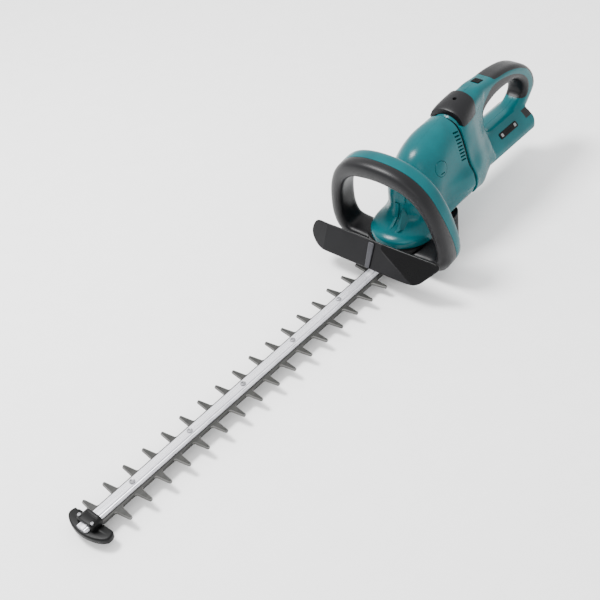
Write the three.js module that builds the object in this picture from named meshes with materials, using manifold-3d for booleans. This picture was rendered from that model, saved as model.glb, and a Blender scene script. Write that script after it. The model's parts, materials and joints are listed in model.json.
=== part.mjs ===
// Cordless hedge trimmer without its battery, in millimetres.
//
// +X runs forward to the blade tip, +Y to the operator's left and +Z up. Pieces are drawn about the first
// tooth: X = 0 on its centre line, Z = 0 between the two blades. The finished group is then moved so that
// the origin lies on the resting surface, under the middle of the machine.
import * as THREE from "three";
import { mergeVertices } from "three/addons/utils/BufferGeometryUtils.js";
import Module from "manifold-3d";

const wasm = await Module();
wasm.setup();

// ---------------------------------------------------------------- driving dimensions

const ORIGIN = { x: -442.6, z: -16 }; // where the finished group's origin lies
const GAP = 0.3; // between pieces that touch
const HEAD_CROWN = 0.7; // a screw head's crown over its rim
const WELD = 1e-3; // vertices closer than this are one
const FAR = 400; // half size of a cutting block
const QUARTER = Math.PI / 2;
const THICK_BEVEL = 3; // larger bevels are rounded, smaller ones are flat

const TOOTH = { pitch: 32.5, count: 17, root: 12, rootHalf: 5.2, reach: 34, tipHalf: 2.7, tipRound: 2 };
const BLADE = { thick: 2, split: 0.15, front: 8, rear: -570 };
const SLOT = { half: 12, width: 3.6 };
const YOKE = { x: 35, y: 26.5, windowX: 30.4, windowY: 22.2 };

const GUIDE = { half: 8.2, bottom: 2.5, top: 8, front: 31, rear: -546, round: 4 };
const BAR_SCREW = { first: -51, count: 5, shank: 2.6, head: 4.4, headHeight: 2.2, nut: 4.6, nutHeight: 3 };
const NOSE = { rear: 9, front: 34, half: 35, corner: 7, bottom: -7, floor: -2.8, top: 2.2, block: 17, play: 0.8 };
const CLAMP = { rear: 8, front: 25, left: 14, right: -14, top: 13, shoulder: 10 };
const NOSE_SCREW = { x: 21, y: 11.3, hole: 1.4, shank: 1.1, head: 2.2, headHeight: 1.2, length: 12 };

const GUARD = { lean: 24.4, foot: -505.6, low: 18, high: 56, thick: 3, ribHalf: 3.4, ribThick: 2.4 };

const CASE = {
  front: -550, rear: -680, half: 45, low: -12, high: 29.7, wall: 4, frontRound: 32, rearRound: 28,
};
const BASE = { low: -16, high: -12.3 };
const MOUTH = { half: 13.5, low: -3.6, high: 8.4 };

const MODULE_MM = 1.6;
const TOOTH_PLAY = 0.22;
const CRANK = {
  x: -600, teeth: 42, low: 7, high: 14, shaft: 4, shaftLow: -11, shaftHigh: 25, throw: 8, cam: 12, camHigh: 3,
};
const MOTOR = { x: -640, teeth: 8, pinionLow: 6, pinionHigh: 16, shaft: 3, shaftLow: 4, shaftHigh: 135 };
const CAN = { radius: 27, wall: 3, low: 40, high: 108 };
const ARMATURE = { radius: 21, low: 56, high: 102 };
const COMMUTATOR = { radius: 11, low: 112, high: 126 };
const FAN = { radius: 22, hub: 6, low: 43, high: 50, blades: 7, bladeHalf: 0.8 };
const BEARING = { outer: 9.5, height: 6 };
const BRUSH = { z: 118, start: 11.5, end: 28, half: 3, holder: 5.2 };

const SWIVEL = {
  z: 98, front: -697, rear: -703, size: 0.93, bore: 20, tube: 24, flange: 29, flangeThick: 3, tubeRear: -711,
};

// Plan-view levels of the motor housing: z, front x, back x, half-width midway, half-width at the back.
const HOUSING_LEVELS = [
  [30, -547, -678, 46, 30],
  [38, -547, -693, 46.5, 38],
  [44, -553, -697, 45, 44],
  [50, -571, -697, 42, 48],
  [58, -583, -697, 41, 51],
  [66, -586, -697, 41, 54],
  [82, -587, -697, 41.5, 51],
  [95, -590, -697, 41, 43],
  [121, -603, -697, 37, 35.5],
  [141, -621, -697, 30, 29],
  [153, -648, -697, 20, 21],
  [158, -670, -697, 11.5, 12],
  [160.5, -688, -697, 3, 3],
];
const HOUSING = {
  wall: 3, frontWall: 4.5, sideWall: 3.6, frontShare: 0.42, sideShare: 0.83, depthShare: 0.6,
  frontRound: 45, innerLevels: 11, rearWall: 7,
};
const POST = { radius: 4.6, bore: 2.2, shank: 1.8, head: 3.4, headThick: 2.4, counterbore: 3.9, tip: 9 };
// x, z and the depth of the screw's seat
const HOUSING_POSTS = [[-603, 62, 27], [-684, 50, 37], [-684, 138, 22]];
const HANDLE_POSTS = [[-718, 48, 36], [-772, 152, 10]];
const CAP = { radius: 11, seat: 30 };

// Cross-sections of the handle's neck: x, top z, then y, z at shoulder, upper, middle, hip and foot, bottom z.
const NECK = [
  [-703.3, 160.5, 21, 154, 34, 125, 42, 95, 53.5, 68, 44, 42, 35],
  [-709, 164, 23, 157, 34, 125, 41, 95, 52, 68, 43, 42, 35],
  [-730, 170, 21, 163, 30, 132, 38, 100, 47, 70, 42, 40, 33],
  [-750, 173.5, 19, 166, 23, 138, 31, 104, 41, 72, 38.5, 49, 44],
  [-762, 174.5, 18, 167, 19.5, 140, 25, 108, 37, 78, 38, 57, 52],
  [-773, 173.5, 17.5, 166, 18, 142, 20, 110, 33, 80, 38, 58, 52],
];
const SHELL_WALL = 3;
const LOWER_BODY = { front: -757, rear: -892, round: 14, slopeFrom: 52, slopeTo: 120, slope: 13 };
const PAD = [[38.5, 52, 5], [38, 61, 4], [31.5, 73, 5], [23, 82, 5], [14, 88, 5]];
const PAD_CAVITY = [[30, 70], [28, 72], [21, 79], [13, 84.4]];
const GRIP_BAR = { half: 17.5, bevel: 9 };
const GRIP_OUTER = [[-752, 169], [-800, 172], [-835, 170], [-870, 162], [-898, 146], [-915, 126], [-919, 107],
  [-907, 90], [-880, 70], [-800, 62], [-752, 76]];
const GRIP_HOLE = [[-773, 111], [-781, 130], [-805, 140], [-838, 142], [-866, 137], [-884, 121], [-887, 104],
  [-870, 91], [-832, 87], [-793, 89]];
const BATTERY_BAY = { front: -775, half: 27, lipHalf: 22, lip: 57, high: 67 };
const TERMINALS = { rear: -800, half: 16, low: 57.5, blade: 3, finHalf: 0.6, pitch: 10 };
const CONTROLLER = { front: -800, rear: -874, half: 19, low: 71, high: 79 };
const OUTER_GRIP_EDGE = [[-789, 190], [-797, 169], [-832, 166.5], [-856, 161.5], [-880, 151], [-904, 135],
  [-950, 125], [-950, 190]];
const INNER_GRIP = {
  front: -791, low: 97, growX: 1.13, growZ: 1.5, middleX: -830, middleZ: 112, spanX: 50, spanZ: 20,
};
const BUMPER = { front: -870, low: 74, high: 84.5, inside: 20 };
const TRIGGER = { front: -800, rear: -858, half: 6, slotLow: 110, slotHigh: 160 };
const TRIGGER_SIDE = [[-800, 142], [-800, 149], [-858, 149], [-858, 140], [-846, 134.5], [-825, 135]];
const SWITCH = { front: -818, rear: -848, low: 155.9, high: 159.6 };
const LOCK_BUTTON = { x: -784, half: 6.5, foot: 158, travel: 4, proud: 1 };
const LEVER = { front: -708, rear: -745, low: 147, thick: 4, proud: 3.5, sideSlack: 0.8 };
const PANEL = {
  x: -824.5, y: 27.8, z: 77.2, tilt: 42, length: 46, width: 9, depth: 3,
  button: 5, buttonAt: 17, wellFloor: 2, proud: 0.5,
};
const FRONT_LEVER = { half: 52, x0: -37, x1: -29, proud: 6, sunk: 8, travel: 4 };

const LOOP = {
  lean: 9.5, foot: -559.5, low: 14, depth: 40, gripDepth: 25, bevel: 8, lining: 8, holeMiddle: 80,
};
// The loop handle's right half seen from the front, from its top round to its foot: y, z.
const LOOP_OUTER = [[0, 168], [30, 165], [54, 156], [74, 138], [87, 113], [96, 80], [100, 46], [97, 22],
  [84, 6], [60, 1], [0, 0]];
const LOOP_HOLE = [[0, 142], [22, 140], [42, 135], [60, 120], [72, 97], [79, 68], [81, 42], [75, 27],
  [56, 24], [24, 24], [0, 24]];

// ---------------------------------------------------------------- finishes

const finish = (color, roughness, metalness = 0) => new THREE.MeshStandardMaterial({ color, roughness, metalness });
const TEAL = finish(0x00828c, 0.38);
const RUBBER = finish(0x3a3b3f, 0.7);
const BLACK = finish(0x1e2022, 0.45);
const SMOKE = finish(0x3f3e43, 0.3);
const BLADE_STEEL = finish(0x55555a, 0.35, 0.9);
const BRIGHT = finish(0xd6d6da, 0.3, 0.9);
const STEEL = finish(0x8c8f94, 0.4, 0.9);
const COPPER = finish(0xb4693c, 0.4, 0.9);
const BRONZE = finish(0x8a6b3c, 0.5, 0.8);
const CARBON = finish(0x2b2b2d, 0.8);
const LIGHT_GREY = finish(0xb4b8ba, 0.5);
const BOARD = finish(0x1f5a3a, 0.6);

// ---------------------------------------------------------------- helpers

const machine = new THREE.Group();

function add(name, part, look) {
  const { vertProperties, triVerts } = part.getMesh();
  const geometry = new THREE.BufferGeometry();
  geometry.setAttribute("position", new THREE.BufferAttribute(vertProperties, 3));
  geometry.setIndex(new THREE.BufferAttribute(triVerts, 1));
  const mesh = new THREE.Mesh(geometry, look.clone());
  mesh.name = name;
  machine.add(mesh);
}

/** A closed manifold-3d solid from a three.js geometry. */
function solid(geometry) {
  geometry.deleteAttribute("normal");
  geometry.deleteAttribute("uv");
  const merged = mergeVertices(geometry, WELD);
  const index = merged.index.array;
  const triVerts = [];
  for (let i = 0; i < index.length; i += 3) {
    const [a, b, c] = [index[i], index[i + 1], index[i + 2]];
    if (a !== b && b !== c && c !== a) triVerts.push(a, b, c);
  }
  const vertProperties = merged.attributes.position.array;
  const mesh = new wasm.Mesh({ numProp: 3, vertProperties, triVerts: new Uint32Array(triVerts) });
  return new wasm.Manifold(mesh);
}

const join = (...parts) => parts.reduce((whole, part) => whole.add(part));
const cut = (body, ...tools) => tools.reduce((left, tool) => left.subtract(tool), body);
const range = (count) => Array.from({ length: count }, (_, i) => i);
const mix = (a, b, share) => a + (b - a) * share;

/** A box from its limits along X, Y and Z. */
function block([x0, x1], [y0, y1], [z0, z1]) {
  const box = new THREE.BoxGeometry(x1 - x0, y1 - y0, z1 - z0);
  return solid(box.translate((x0 + x1) / 2, (y0 + y1) / 2, (z0 + z1) / 2));
}

/** An upright cylinder. */
function post(x, y, radius, z0, z1, sides = 24) {
  const rod = new THREE.CylinderGeometry(radius, radius, z1 - z0, sides).rotateX(QUARTER);
  return solid(rod.translate(x, y, (z0 + z1) / 2));
}

/** A cylinder along Y. */
function crossRod(x, z, radius, y0, y1, sides = 20) {
  const rod = new THREE.CylinderGeometry(radius, radius, y1 - y0, sides);
  return solid(rod.translate(x, (y0 + y1) / 2, z));
}

/** A cylinder along X. */
function lengthRod(z, radius, x0, x1, sides = 24) {
  const rod = new THREE.CylinderGeometry(radius, radius, x1 - x0, sides).rotateZ(-QUARTER);
  return solid(rod.translate((x0 + x1) / 2, 0, z));
}

/** A turned piece about an upright axis, from a closed [radius, height] profile that runs upwards outside. */
function turned(x, y, profile, sides = 24) {
  const lathe = new THREE.LatheGeometry(profile.map(([r, z]) => new THREE.Vector2(r, z)), sides);
  return solid(lathe.rotateX(QUARTER).translate(x, y, 0));
}

/** A polygon of [x, y] or [x, y, radius] corners, as a Shape or a Path. */
function outline(points, Kind = THREE.Shape) {
  const shape = new Kind();
  points.forEach(([x, y, round = 0], i) => {
    const corner = new THREE.Vector2(x, y);
    const toward = ([px, py]) => {
      const step = new THREE.Vector2(px, py).sub(corner);
      return step.setLength(Math.min(round, step.length() / 2)).add(corner);
    };
    const from = toward(points.at(i - 1));
    const to = toward(points[(i + 1) % points.length]);
    if (i === 0) shape.moveTo(from.x, from.y);
    else shape.lineTo(from.x, from.y);
    if (round > 0) shape.quadraticCurveTo(x, y, to.x, to.y);
  });
  shape.closePath();
  return shape;
}

/** A closed smooth curve through points, as a Shape or a Path. */
function smooth(points, steps = 3, Kind = THREE.Shape) {
  const knots = points.map(([x, y]) => new THREE.Vector3(x, y, 0));
  const curve = new THREE.CatmullRomCurve3(knots, true);
  const flat = curve.getPoints(points.length * steps).slice(0, -1);
  return new Kind(flat.map(({ x, y }) => new THREE.Vector2(x, y)));
}

const disc = (x, y, rx, ry = rx) => new THREE.Shape().absellipse(x, y, rx, ry, 0, 2 * Math.PI);
const mirrored = (half) => [...half, ...half.map(([y, ...rest]) => [-y, ...rest]).reverse()];

/** An extrusion along +Z from 0; the outline is put anticlockwise first, so that its holes face the right way. */
function extruded(shape, depth, bevel, curveSegments) {
  const points = shape.getPoints(curveSegments);
  if (THREE.ShapeUtils.isClockWise(points)) points.reverse();
  const ordered = new THREE.Shape(points);
  ordered.holes = shape.holes.map((hole) => new THREE.Path(hole.getPoints(curveSegments)));
  const options = {
    depth: depth - 2 * bevel,
    bevelEnabled: bevel > 0,
    bevelThickness: bevel,
    bevelSize: bevel,
    bevelOffset: -bevel,
    bevelSegments: bevel > THICK_BEVEL ? 2 : 1,
  };
  return new THREE.ExtrudeGeometry(ordered, options).translate(0, 0, bevel);
}

/** A plan-view (X, Y) shape between two heights. */
const plate = (shape, z0, z1, bevel = 0, curve = 6) =>
  solid(extruded(shape, z1 - z0, bevel, curve).translate(0, 0, z0));

/** A side-view (X, Z) shape between two values of Y. */
const slab = (shape, y0, y1, bevel = 0, curve = 6) =>
  solid(extruded(shape, y1 - y0, bevel, curve).rotateX(QUARTER).translate(0, y1, 0));

/** A front-view (Y, Z) shape between two values of X. */
function bulkhead(shape, x0, x1, bevel = 0, curve = 6) {
  const axes = [new THREE.Vector3(0, 1, 0), new THREE.Vector3(0, 0, 1), new THREE.Vector3(1, 0, 0)];
  const turn = new THREE.Matrix4().makeBasis(...axes);
  return solid(extruded(shape, x1 - x0, bevel, curve).applyMatrix4(turn).translate(x0, 0, 0));
}

/**
 * A closed solid lofted through rows of sections, with flat ends. place(row, turn) gives the surface point
 * at a fractional row and at an angle from -PI to PI.
 */
function loft(rows, sides, place) {
  const tube = new THREE.CylinderGeometry(1, 1, 1, sides, rows);
  tube.deleteAttribute("normal");
  tube.deleteAttribute("uv");
  const merged = mergeVertices(tube, WELD);
  const points = merged.attributes.position;
  const at = new THREE.Vector3();
  for (let i = 0; i < points.count; i++) {
    at.fromBufferAttribute(points, i);
    const row = (at.y + 0.5) * rows;
    const onAxis = Math.hypot(at.x, at.z) < WELD;
    if (onAxis) at.copy(place(row, 0)).add(place(row, Math.PI)).multiplyScalar(0.5);
    else at.copy(place(row, Math.atan2(at.x, at.z)));
    points.setXYZ(i, at.x, at.y, at.z);
  }
  return solid(merged);
}

/** The values of a table of rows at a fractional row. */
function between(table, row) {
  const low = Math.min(Math.floor(row), table.length - 2);
  return table[low].map((value, i) => mix(value, table[low + 1][i], row - low));
}

// ---------------------------------------------------------------- cutter bar

/** Both blades are alike: a toothed strip with screw slots, and a yoke round its crank cam. */
function blade(z0) {
  const { pitch, count, root, rootHalf, reach, tipHalf, tipRound } = TOOTH;
  const tooth = (x, side, heading) => [
    [x - heading * rootHalf, side * root],
    [x - heading * tipHalf, side * reach, tipRound],
    [x + heading * tipHalf, side * reach, tipRound],
    [x + heading * rootHalf, side * root],
  ];
  const left = range(count).flatMap((n) => tooth(-pitch * (n + 0.5), 1, -1));
  const right = range(count).reverse().flatMap((n) => tooth(-pitch * n, -1, 1));
  const { front, rear, thick } = BLADE;
  const strip = outline([[front, root, 3], ...left, [rear, root], [rear, -root], ...right, [front, -root, 3]]);
  const { half, width } = SLOT;
  for (const n of range(BAR_SCREW.count)) {
    const [rearX, frontX] = [screwX(n) - half, screwX(n) + half];
    const slot = [[rearX, -width], [frontX, -width], [frontX, width], [rearX, width]];
    strip.holes.push(outline(slot.map((corner) => [...corner, width]), THREE.Path));
  }
  const yoke = plate(disc(CRANK.x, 0, YOKE.x, YOKE.y), z0, z0 + thick, 0, 12);
  const window = plate(disc(CRANK.x, 0, YOKE.windowX, YOKE.windowY), z0 - 1, z0 + thick + 1, 0, 12);
  return cut(join(plate(strip, z0, z0 + thick, 0, 1), yoke), window);
}

const screwX = (n) => BAR_SCREW.first - 3 * TOOTH.pitch * n;

function cutterBar() {
  add("upper_blade", blade(BLADE.split), BLADE_STEEL);
  add("lower_blade", blade(-BLADE.split - BLADE.thick), BLADE_STEEL);
  const { half, bottom, top, front, rear, round } = GUIDE;
  const bar = outline([[front, -half, round], [front, half, round], [rear, half], [rear, -half]]);
  const { shank, head, headHeight, nut, nutHeight } = BAR_SCREW;
  for (const n of range(BAR_SCREW.count)) bar.holes.push(disc(screwX(n), 0, shank + GAP));
  add("guide_bar", plate(bar, bottom, top, 0, 6), BRIGHT);
  const seat = top + GAP;
  const under = -BLADE.split - BLADE.thick - GAP;
  for (const n of range(BAR_SCREW.count)) {
    const profile = [
      [0, under - nutHeight], [nut, under - nutHeight], [nut, under], [shank, under], [shank, seat],
      [head, seat], [head, seat + headHeight / 2], [head * HEAD_CROWN, seat + headHeight], [0, seat + headHeight],
    ];
    add(`bar_screw_${n + 1}`, turned(screwX(n), 0, profile, 8), STEEL);
  }
}

function noseGuard() {
  const { rear, front, half, corner, bottom, floor, top, block: wall } = NOSE;
  const side = rear + corner + 3;
  const shape = new THREE.Shape();
  shape.moveTo(rear, corner - half);
  shape.quadraticCurveTo(rear, -half, side, -half);
  shape.bezierCurveTo(side + corner, -half, front, -half / 2, front, 0);
  shape.bezierCurveTo(front, half / 2, side + corner, half, side, half);
  shape.quadraticCurveTo(rear, half, rear, half - corner);
  const bladeSpace = block([-FAR, wall], [-TOOTH.root - 2, TOOTH.root + 2], [floor, FAR]);
  const holes = [-1, 1].map((s) => post(NOSE_SCREW.x, s * NOSE_SCREW.y, NOSE_SCREW.hole, -FAR, FAR, 12));
  const stroke = CRANK.throw + NOSE.play;
  const toothSpace = plate(outline([[-FAR, -TOOTH.reach - 2], [TOOTH.tipHalf + stroke, -TOOTH.reach - 2],
    [TOOTH.rootHalf + stroke, -TOOTH.root], [-FAR, -TOOTH.root]]), floor, FAR);
  add("nose_guard", cut(plate(shape, bottom, top, 1.5, 5), bladeSpace, toothSpace, ...holes), BLACK);

  const { left, right, shoulder, top: roof } = CLAMP;
  const foot = top + GAP;
  const hood = outline([[right, foot], [right, shoulder, 2], [right + 4, roof, 1], [left - 4, roof, 1],
    [left, shoulder, 2], [left, foot]]);
  const barSpace = block([-FAR, FAR], [-GUIDE.half - GAP, GUIDE.half + GAP], [-FAR, GUIDE.top + GAP]);
  add("nose_clamp", cut(bulkhead(hood, CLAMP.rear, CLAMP.front), barSpace, ...holes), BLACK);
  const { x, y, shank, head, headHeight, length } = NOSE_SCREW;
  const seat = roof + GAP;
  const screw = [[0, seat - length], [shank, seat - length], [shank, seat], [head, seat],
    [head * HEAD_CROWN, seat + headHeight], [0, seat + headHeight]];
  add("nose_screw_right", turned(x, -y, screw, 12), STEEL);
  add("nose_screw_left", turned(x, y, screw, 12), STEEL);
}

// ---------------------------------------------------------------- hand guard

/** The guard leans back; it is drawn upright in the (Y, Z) plane and turned about its foot. */
function handGuard() {
  const { lean, foot, low, high, thick, ribHalf, ribThick } = GUARD;
  const tall = (high - low) / Math.cos(THREE.MathUtils.degToRad(lean));
  const up = (share) => low + tall * share;
  const shape = outline([[-90, up(0), 14], [-110.4, up(0.45), 14], [-104, up(0.95), 9], [-20, up(1), 4],
    [106, up(1), 8], [110, up(0.85), 8], [82, up(0.05), 12], [60, up(0), 6]]);
  const leaned = (part) => part.translate([0, 0, -low]).rotate([0, -lean, 0]).translate([foot, 0, low]);
  const barSpace = block([-FAR, FAR], [-GUIDE.half - GAP, GUIDE.half + GAP], [-FAR, GUIDE.top + GAP]);
  add("hand_guard", cut(leaned(bulkhead(shape, -thick, 0, 0.8, 5)), barSpace), SMOKE);
  const rib = outline([[-ribHalf, up(0.04), 2], [ribHalf, up(0.04), 2], [ribHalf, up(0.93), 2],
    [-ribHalf, up(0.93), 2]]);
  add("guard_rib", leaned(bulkhead(rib, GAP, ribThick, 0, 4)), STEEL);
}

// ---------------------------------------------------------------- front loop handle

/** A closed curve through the points of one half and their mirror images. */
const loopCurve = (half, Kind) => {
  const other = half.slice(1, -1).map(([y, z]) => [-y, z]);
  return smooth([...half, ...other.reverse()], 2, Kind);
};

/** The loop's hole, grown about its middle by a distance at its top. */
const loopHole = (grow, Kind) => {
  const { holeMiddle } = LOOP;
  const scale = 1 + grow / (LOOP_HOLE[0][1] - holeMiddle);
  return loopCurve(LOOP_HOLE.map(([y, z]) => [y * scale, holeMiddle + (z - holeMiddle) * scale]), Kind);
};

function frontHandle(housingOuter) {
  const { lean, foot, low, depth, gripDepth, bevel } = LOOP;
  const shape = loopCurve(LOOP_OUTER);
  shape.holes.push(loopHole(0, THREE.Path));
  const leaned = (part) => part.translate([0, 0, -low]).rotate([0, lean, 0]).translate([foot, 0, low]);
  const loop = bulkhead(shape, -depth, 0, bevel, 6);
  const { half, x0, x1, proud, sunk, travel } = FRONT_LEVER;
  const arc = (outer, inner, reach, grow) => {
    const band = loopHole(outer);
    band.holes.push(loopHole(inner, THREE.Path));
    const top = block([x0 - grow, x1 + grow], [-reach, reach], [LOOP.holeMiddle, FAR]);
    return bulkhead(band, x0 - grow, x1 + grow).intersect(top);
  };
  const groove = arc(sunk + travel + 1, -1, half + 1.5, GAP);
  const coreSpace = (gap) => cut(
    block([-FAR, gap - gripDepth], [-FAR, FAR], [-FAR, FAR]),
    bulkhead(loopHole(LOOP.lining - gap), -FAR, FAR),
  );
  const clearOf = (part) => cut(part, housingOuter, caseBlock());
  add("front_handle_grip", clearOf(leaned(cut(loop, coreSpace(GAP), groove))), RUBBER);
  add("front_handle_core", clearOf(leaned(cut(loop.intersect(coreSpace(0)), groove))), TEAL);
  add("front_lever", leaned(arc(sunk, -proud, half, 0)), BLACK);
}

// ---------------------------------------------------------------- motor housing

/** A point on the motor housing: turn 0 is its front and turn PI its back. */
function housingPoint(levels, steps, row, turn) {
  const frontShare = Math.round(HOUSING.frontShare * steps) / steps;
  const sideShare = Math.round(HOUSING.sideShare * steps) / steps;
  const [z, front, back, middle, end] = between(levels, row);
  const share = Math.abs(turn) / Math.PI;
  const round = Math.min(HOUSING.frontRound, (front - back) * HOUSING.depthShare);
  let [x, y] = [back, (end * (1 - share)) / (1 - sideShare)];
  if (share <= frontShare) {
    const angle = (share / frontShare) * QUARTER;
    [x, y] = [front - round * (1 - Math.cos(angle)), middle * Math.sin(angle)];
  } else if (share <= sideShare) {
    const along = (share - frontShare) / (sideShare - frontShare);
    [x, y] = [mix(front - round, back, along), mix(middle, end, THREE.MathUtils.smoothstep(along, 0, 1))];
  }
  return new THREE.Vector3(x, Math.sign(turn) * y, z);
}

const housingSolid = (levels, sides) =>
  loft(levels.length - 1, sides, (row, turn) => housingPoint(levels, sides / 2, row, turn));

/** Left and right halves of a shell, whose screws go in from the right. */
function splitShell(frame, posts) {
  const bores = posts.flatMap(([x, z, seat]) => [
    crossRod(x, z, POST.bore, -seat - 1, POST.tip + 1, 12),
    crossRod(x, z, POST.counterbore, -FAR, -seat, 12),
  ]);
  const bored = cut(frame, ...bores);
  const side = (y0, y1) => bored.intersect(block([-3 * FAR, FAR], [y0, y1], [-FAR, FAR]));
  return [side(GAP / 2, FAR), side(-FAR, -GAP / 2)];
}

function shellScrews(stem, posts) {
  posts.forEach(([x, z, seat], i) => {
    const under = -seat - GAP;
    const shank = crossRod(x, z, POST.shank, under - 0.5, POST.tip, 12);
    const head = crossRod(x, z, POST.head, under - POST.headThick, under, 12);
    add(`${stem}_${i + 1}`, join(shank, head), STEEL);
  });
}

function housing(outer) {
  const { wall, frontWall, sideWall, innerLevels, rearWall } = HOUSING;
  const levels = HOUSING_LEVELS.slice(0, innerLevels).map(([z, front, back, middle, end]) =>
    [z - wall, front - frontWall, Math.max(back + wall, SWIVEL.front + wall), middle - sideWall, end - sideWall]);
  const posts = HOUSING_POSTS.map(([x, z]) => crossRod(x, z, POST.radius, -FAR, FAR, 12));
  const frame = join(cut(outer, housingSolid(levels, 24)), outer.intersect(join(...posts)));
  const bore = lengthRod(SWIVEL.z, SWIVEL.tube + GAP, SWIVEL.front - rearWall, SWIVEL.front + rearWall);
  const seats = [-1, 1].map((side) => capRod(side, CAP.radius + GAP, CAP.seat - GAP));
  const [left, right] = splitShell(cut(frame, bore, ...seats), HOUSING_POSTS);
  add("housing_left", left, TEAL);
  add("housing_right", right, TEAL);
  shellScrews("housing_screw", HOUSING_POSTS);
}

function capRod(side, radius, start) {
  const [y0, y1] = side > 0 ? [start, FAR] : [-FAR, -start];
  return crossRod(MOTOR.x, BRUSH.z, radius, y0, y1, 24);
}

// ---------------------------------------------------------------- gear case and drive

/** The gear case's outline seen from above, pulled in by an inset. */
function casePlan(inset) {
  const { front, rear, half, frontRound, rearRound } = CASE;
  return outline([
    [front - inset, inset - half, frontRound],
    [front - inset, half - inset, frontRound],
    [rear + inset, half - inset, rearRound],
    [rear + inset, inset - half, rearRound],
  ]);
}

/** The space that the front handle leaves for the gear case. */
const caseBlock = () => plate(casePlan(-GAP), BASE.low - 1, CASE.high + 1, 0, 6);

function gearCase() {
  const { front, low, high, wall } = CASE;
  const walls = cut(plate(casePlan(0), low, high, 0, 6), plate(casePlan(wall), low - 1, high - wall, 0, 6));
  const boss = cut(
    post(CRANK.x, 0, BEARING.outer + wall, CRANK.shaftHigh - BEARING.height, high - wall + 1),
    post(CRANK.x, 0, BEARING.outer + GAP, 0, CRANK.shaftHigh + GAP),
  );
  const mouth = block([front - 2 * wall, FAR], [-MOUTH.half, MOUTH.half], [MOUTH.low, MOUTH.high]);
  const shaftHole = post(MOTOR.x, 0, MODULE_MM * MOTOR.teeth, -FAR, FAR);
  add("gear_case", cut(join(walls, boss), mouth, shaftHole), BLACK);
  const seat = cut(
    post(CRANK.x, 0, BEARING.outer + wall, BASE.low + 1, CRANK.shaftLow + BEARING.height),
    post(CRANK.x, 0, BEARING.outer + GAP, CRANK.shaftLow - GAP, 0),
  );
  add("base_plate", join(plate(casePlan(0), BASE.low, BASE.high, 1, 6), seat), BLACK);
}

/** A spur gear's outline, with straight-sided teeth and a tooth's centre at the phase angle. */
function gearOutline(x, teeth, phase) {
  const pitchRadius = (MODULE_MM * teeth) / 2;
  const halfPitch = (Math.PI * MODULE_MM) / 4 - TOOTH_PLAY;
  const root = [pitchRadius - 1.25 * MODULE_MM, halfPitch * 1.35];
  const tip = [pitchRadius + 0.8 * MODULE_MM, halfPitch * 0.55];
  const points = range(teeth).flatMap((n) => {
    const centre = phase + (n * 2 * Math.PI) / teeth;
    const at = ([radius, half], side) => {
      const angle = centre + (side * half) / radius;
      return [x + radius * Math.cos(angle), radius * Math.sin(angle)];
    };
    return [at(root, -1), at(tip, -1), at(tip, 1), at(root, 1)];
  });
  return outline(points);
}

/** A flat ring about an upright axis. */
const washer = (x, inner, outer, z0, z1, sides = 16) =>
  turned(x, 0, [[inner, z0], [outer, z0], [outer, z1], [inner, z1], [inner, z0]], sides);

function drive() {
  const { x, shaft, shaftLow, shaftHigh, cam, camHigh, throw: offset } = CRANK;
  const cams = [
    post(x + offset, 0, cam, BLADE.split, camHigh),
    post(x - offset, 0, cam, -camHigh, -BLADE.split),
  ];
  add("crank_shaft", join(post(x, 0, shaft, shaftLow, shaftHigh, 16), ...cams), STEEL);
  const gear = plate(gearOutline(x, CRANK.teeth, 0), CRANK.low, CRANK.high);
  add("crank_gear", cut(gear, post(x, 0, shaft + GAP, 0, 20, 16)), STEEL);
  const { outer, height } = BEARING;
  add("crank_bearing_lower", washer(x, shaft + GAP, outer, shaftLow, shaftLow + height), BRIGHT);
  add("crank_bearing_upper", washer(x, shaft + GAP, outer, shaftHigh - height, shaftHigh), BRIGHT);
}

function motor() {
  const { x, shaft, shaftLow, shaftHigh, pinionLow, pinionHigh, teeth } = MOTOR;
  const pinion = plate(gearOutline(x, teeth, Math.PI / teeth), pinionLow, pinionHigh);
  add("motor_shaft", join(post(x, 0, shaft, shaftLow, shaftHigh, 16), pinion), STEEL);
  const bore = shaft + GAP;
  add("motor_can", washer(x, CAN.radius - CAN.wall, CAN.radius, CAN.low, CAN.high, 24), STEEL);
  add("armature", washer(x, bore, ARMATURE.radius, ARMATURE.low, ARMATURE.high), COPPER);
  add("commutator", washer(x, bore, COMMUTATOR.radius, COMMUTATOR.low, COMMUTATOR.high), BRONZE);
  const vanes = range(FAN.blades).map((n) => {
    const vane = block([FAN.hub - 1, FAN.radius], [-FAN.bladeHalf, FAN.bladeHalf], [FAN.low, FAN.high]);
    return vane.rotate([0, 0, (n * 360) / FAN.blades]).translate([x, 0, 0]);
  });
  const hub = post(x, 0, FAN.hub, FAN.low, FAN.high);
  const rim = post(x, 0, FAN.radius - 3, FAN.low, FAN.low + 1);
  add("motor_fan", cut(join(hub, rim, ...vanes), post(x, 0, bore, 0, 2 * FAN.high, 16)), CARBON);
  const { outer, height } = BEARING;
  const lower = CASE.high + GAP;
  const upper = COMMUTATOR.high + 2;
  add("motor_bearing_lower", washer(x, bore, outer, lower, lower + height), BRIGHT);
  add("motor_bearing_upper", washer(x, bore, outer, upper, upper + height), BRIGHT);
}

function brushes(housingOuter) {
  const { z, start, end, half } = BRUSH;
  for (const [side, name] of [[1, "left"], [-1, "right"]]) {
    const reach = [side * start, side * end].sort((a, b) => a - b);
    add(`carbon_brush_${name}`, block([MOTOR.x - half, MOTOR.x + half], reach, [z - half, z + half]), CARBON);
    add(`brush_cap_${name}`, capRod(side, CAP.radius, CAP.seat).intersect(housingOuter), TEAL);
  }
}

// ---------------------------------------------------------------- swivel

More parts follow.
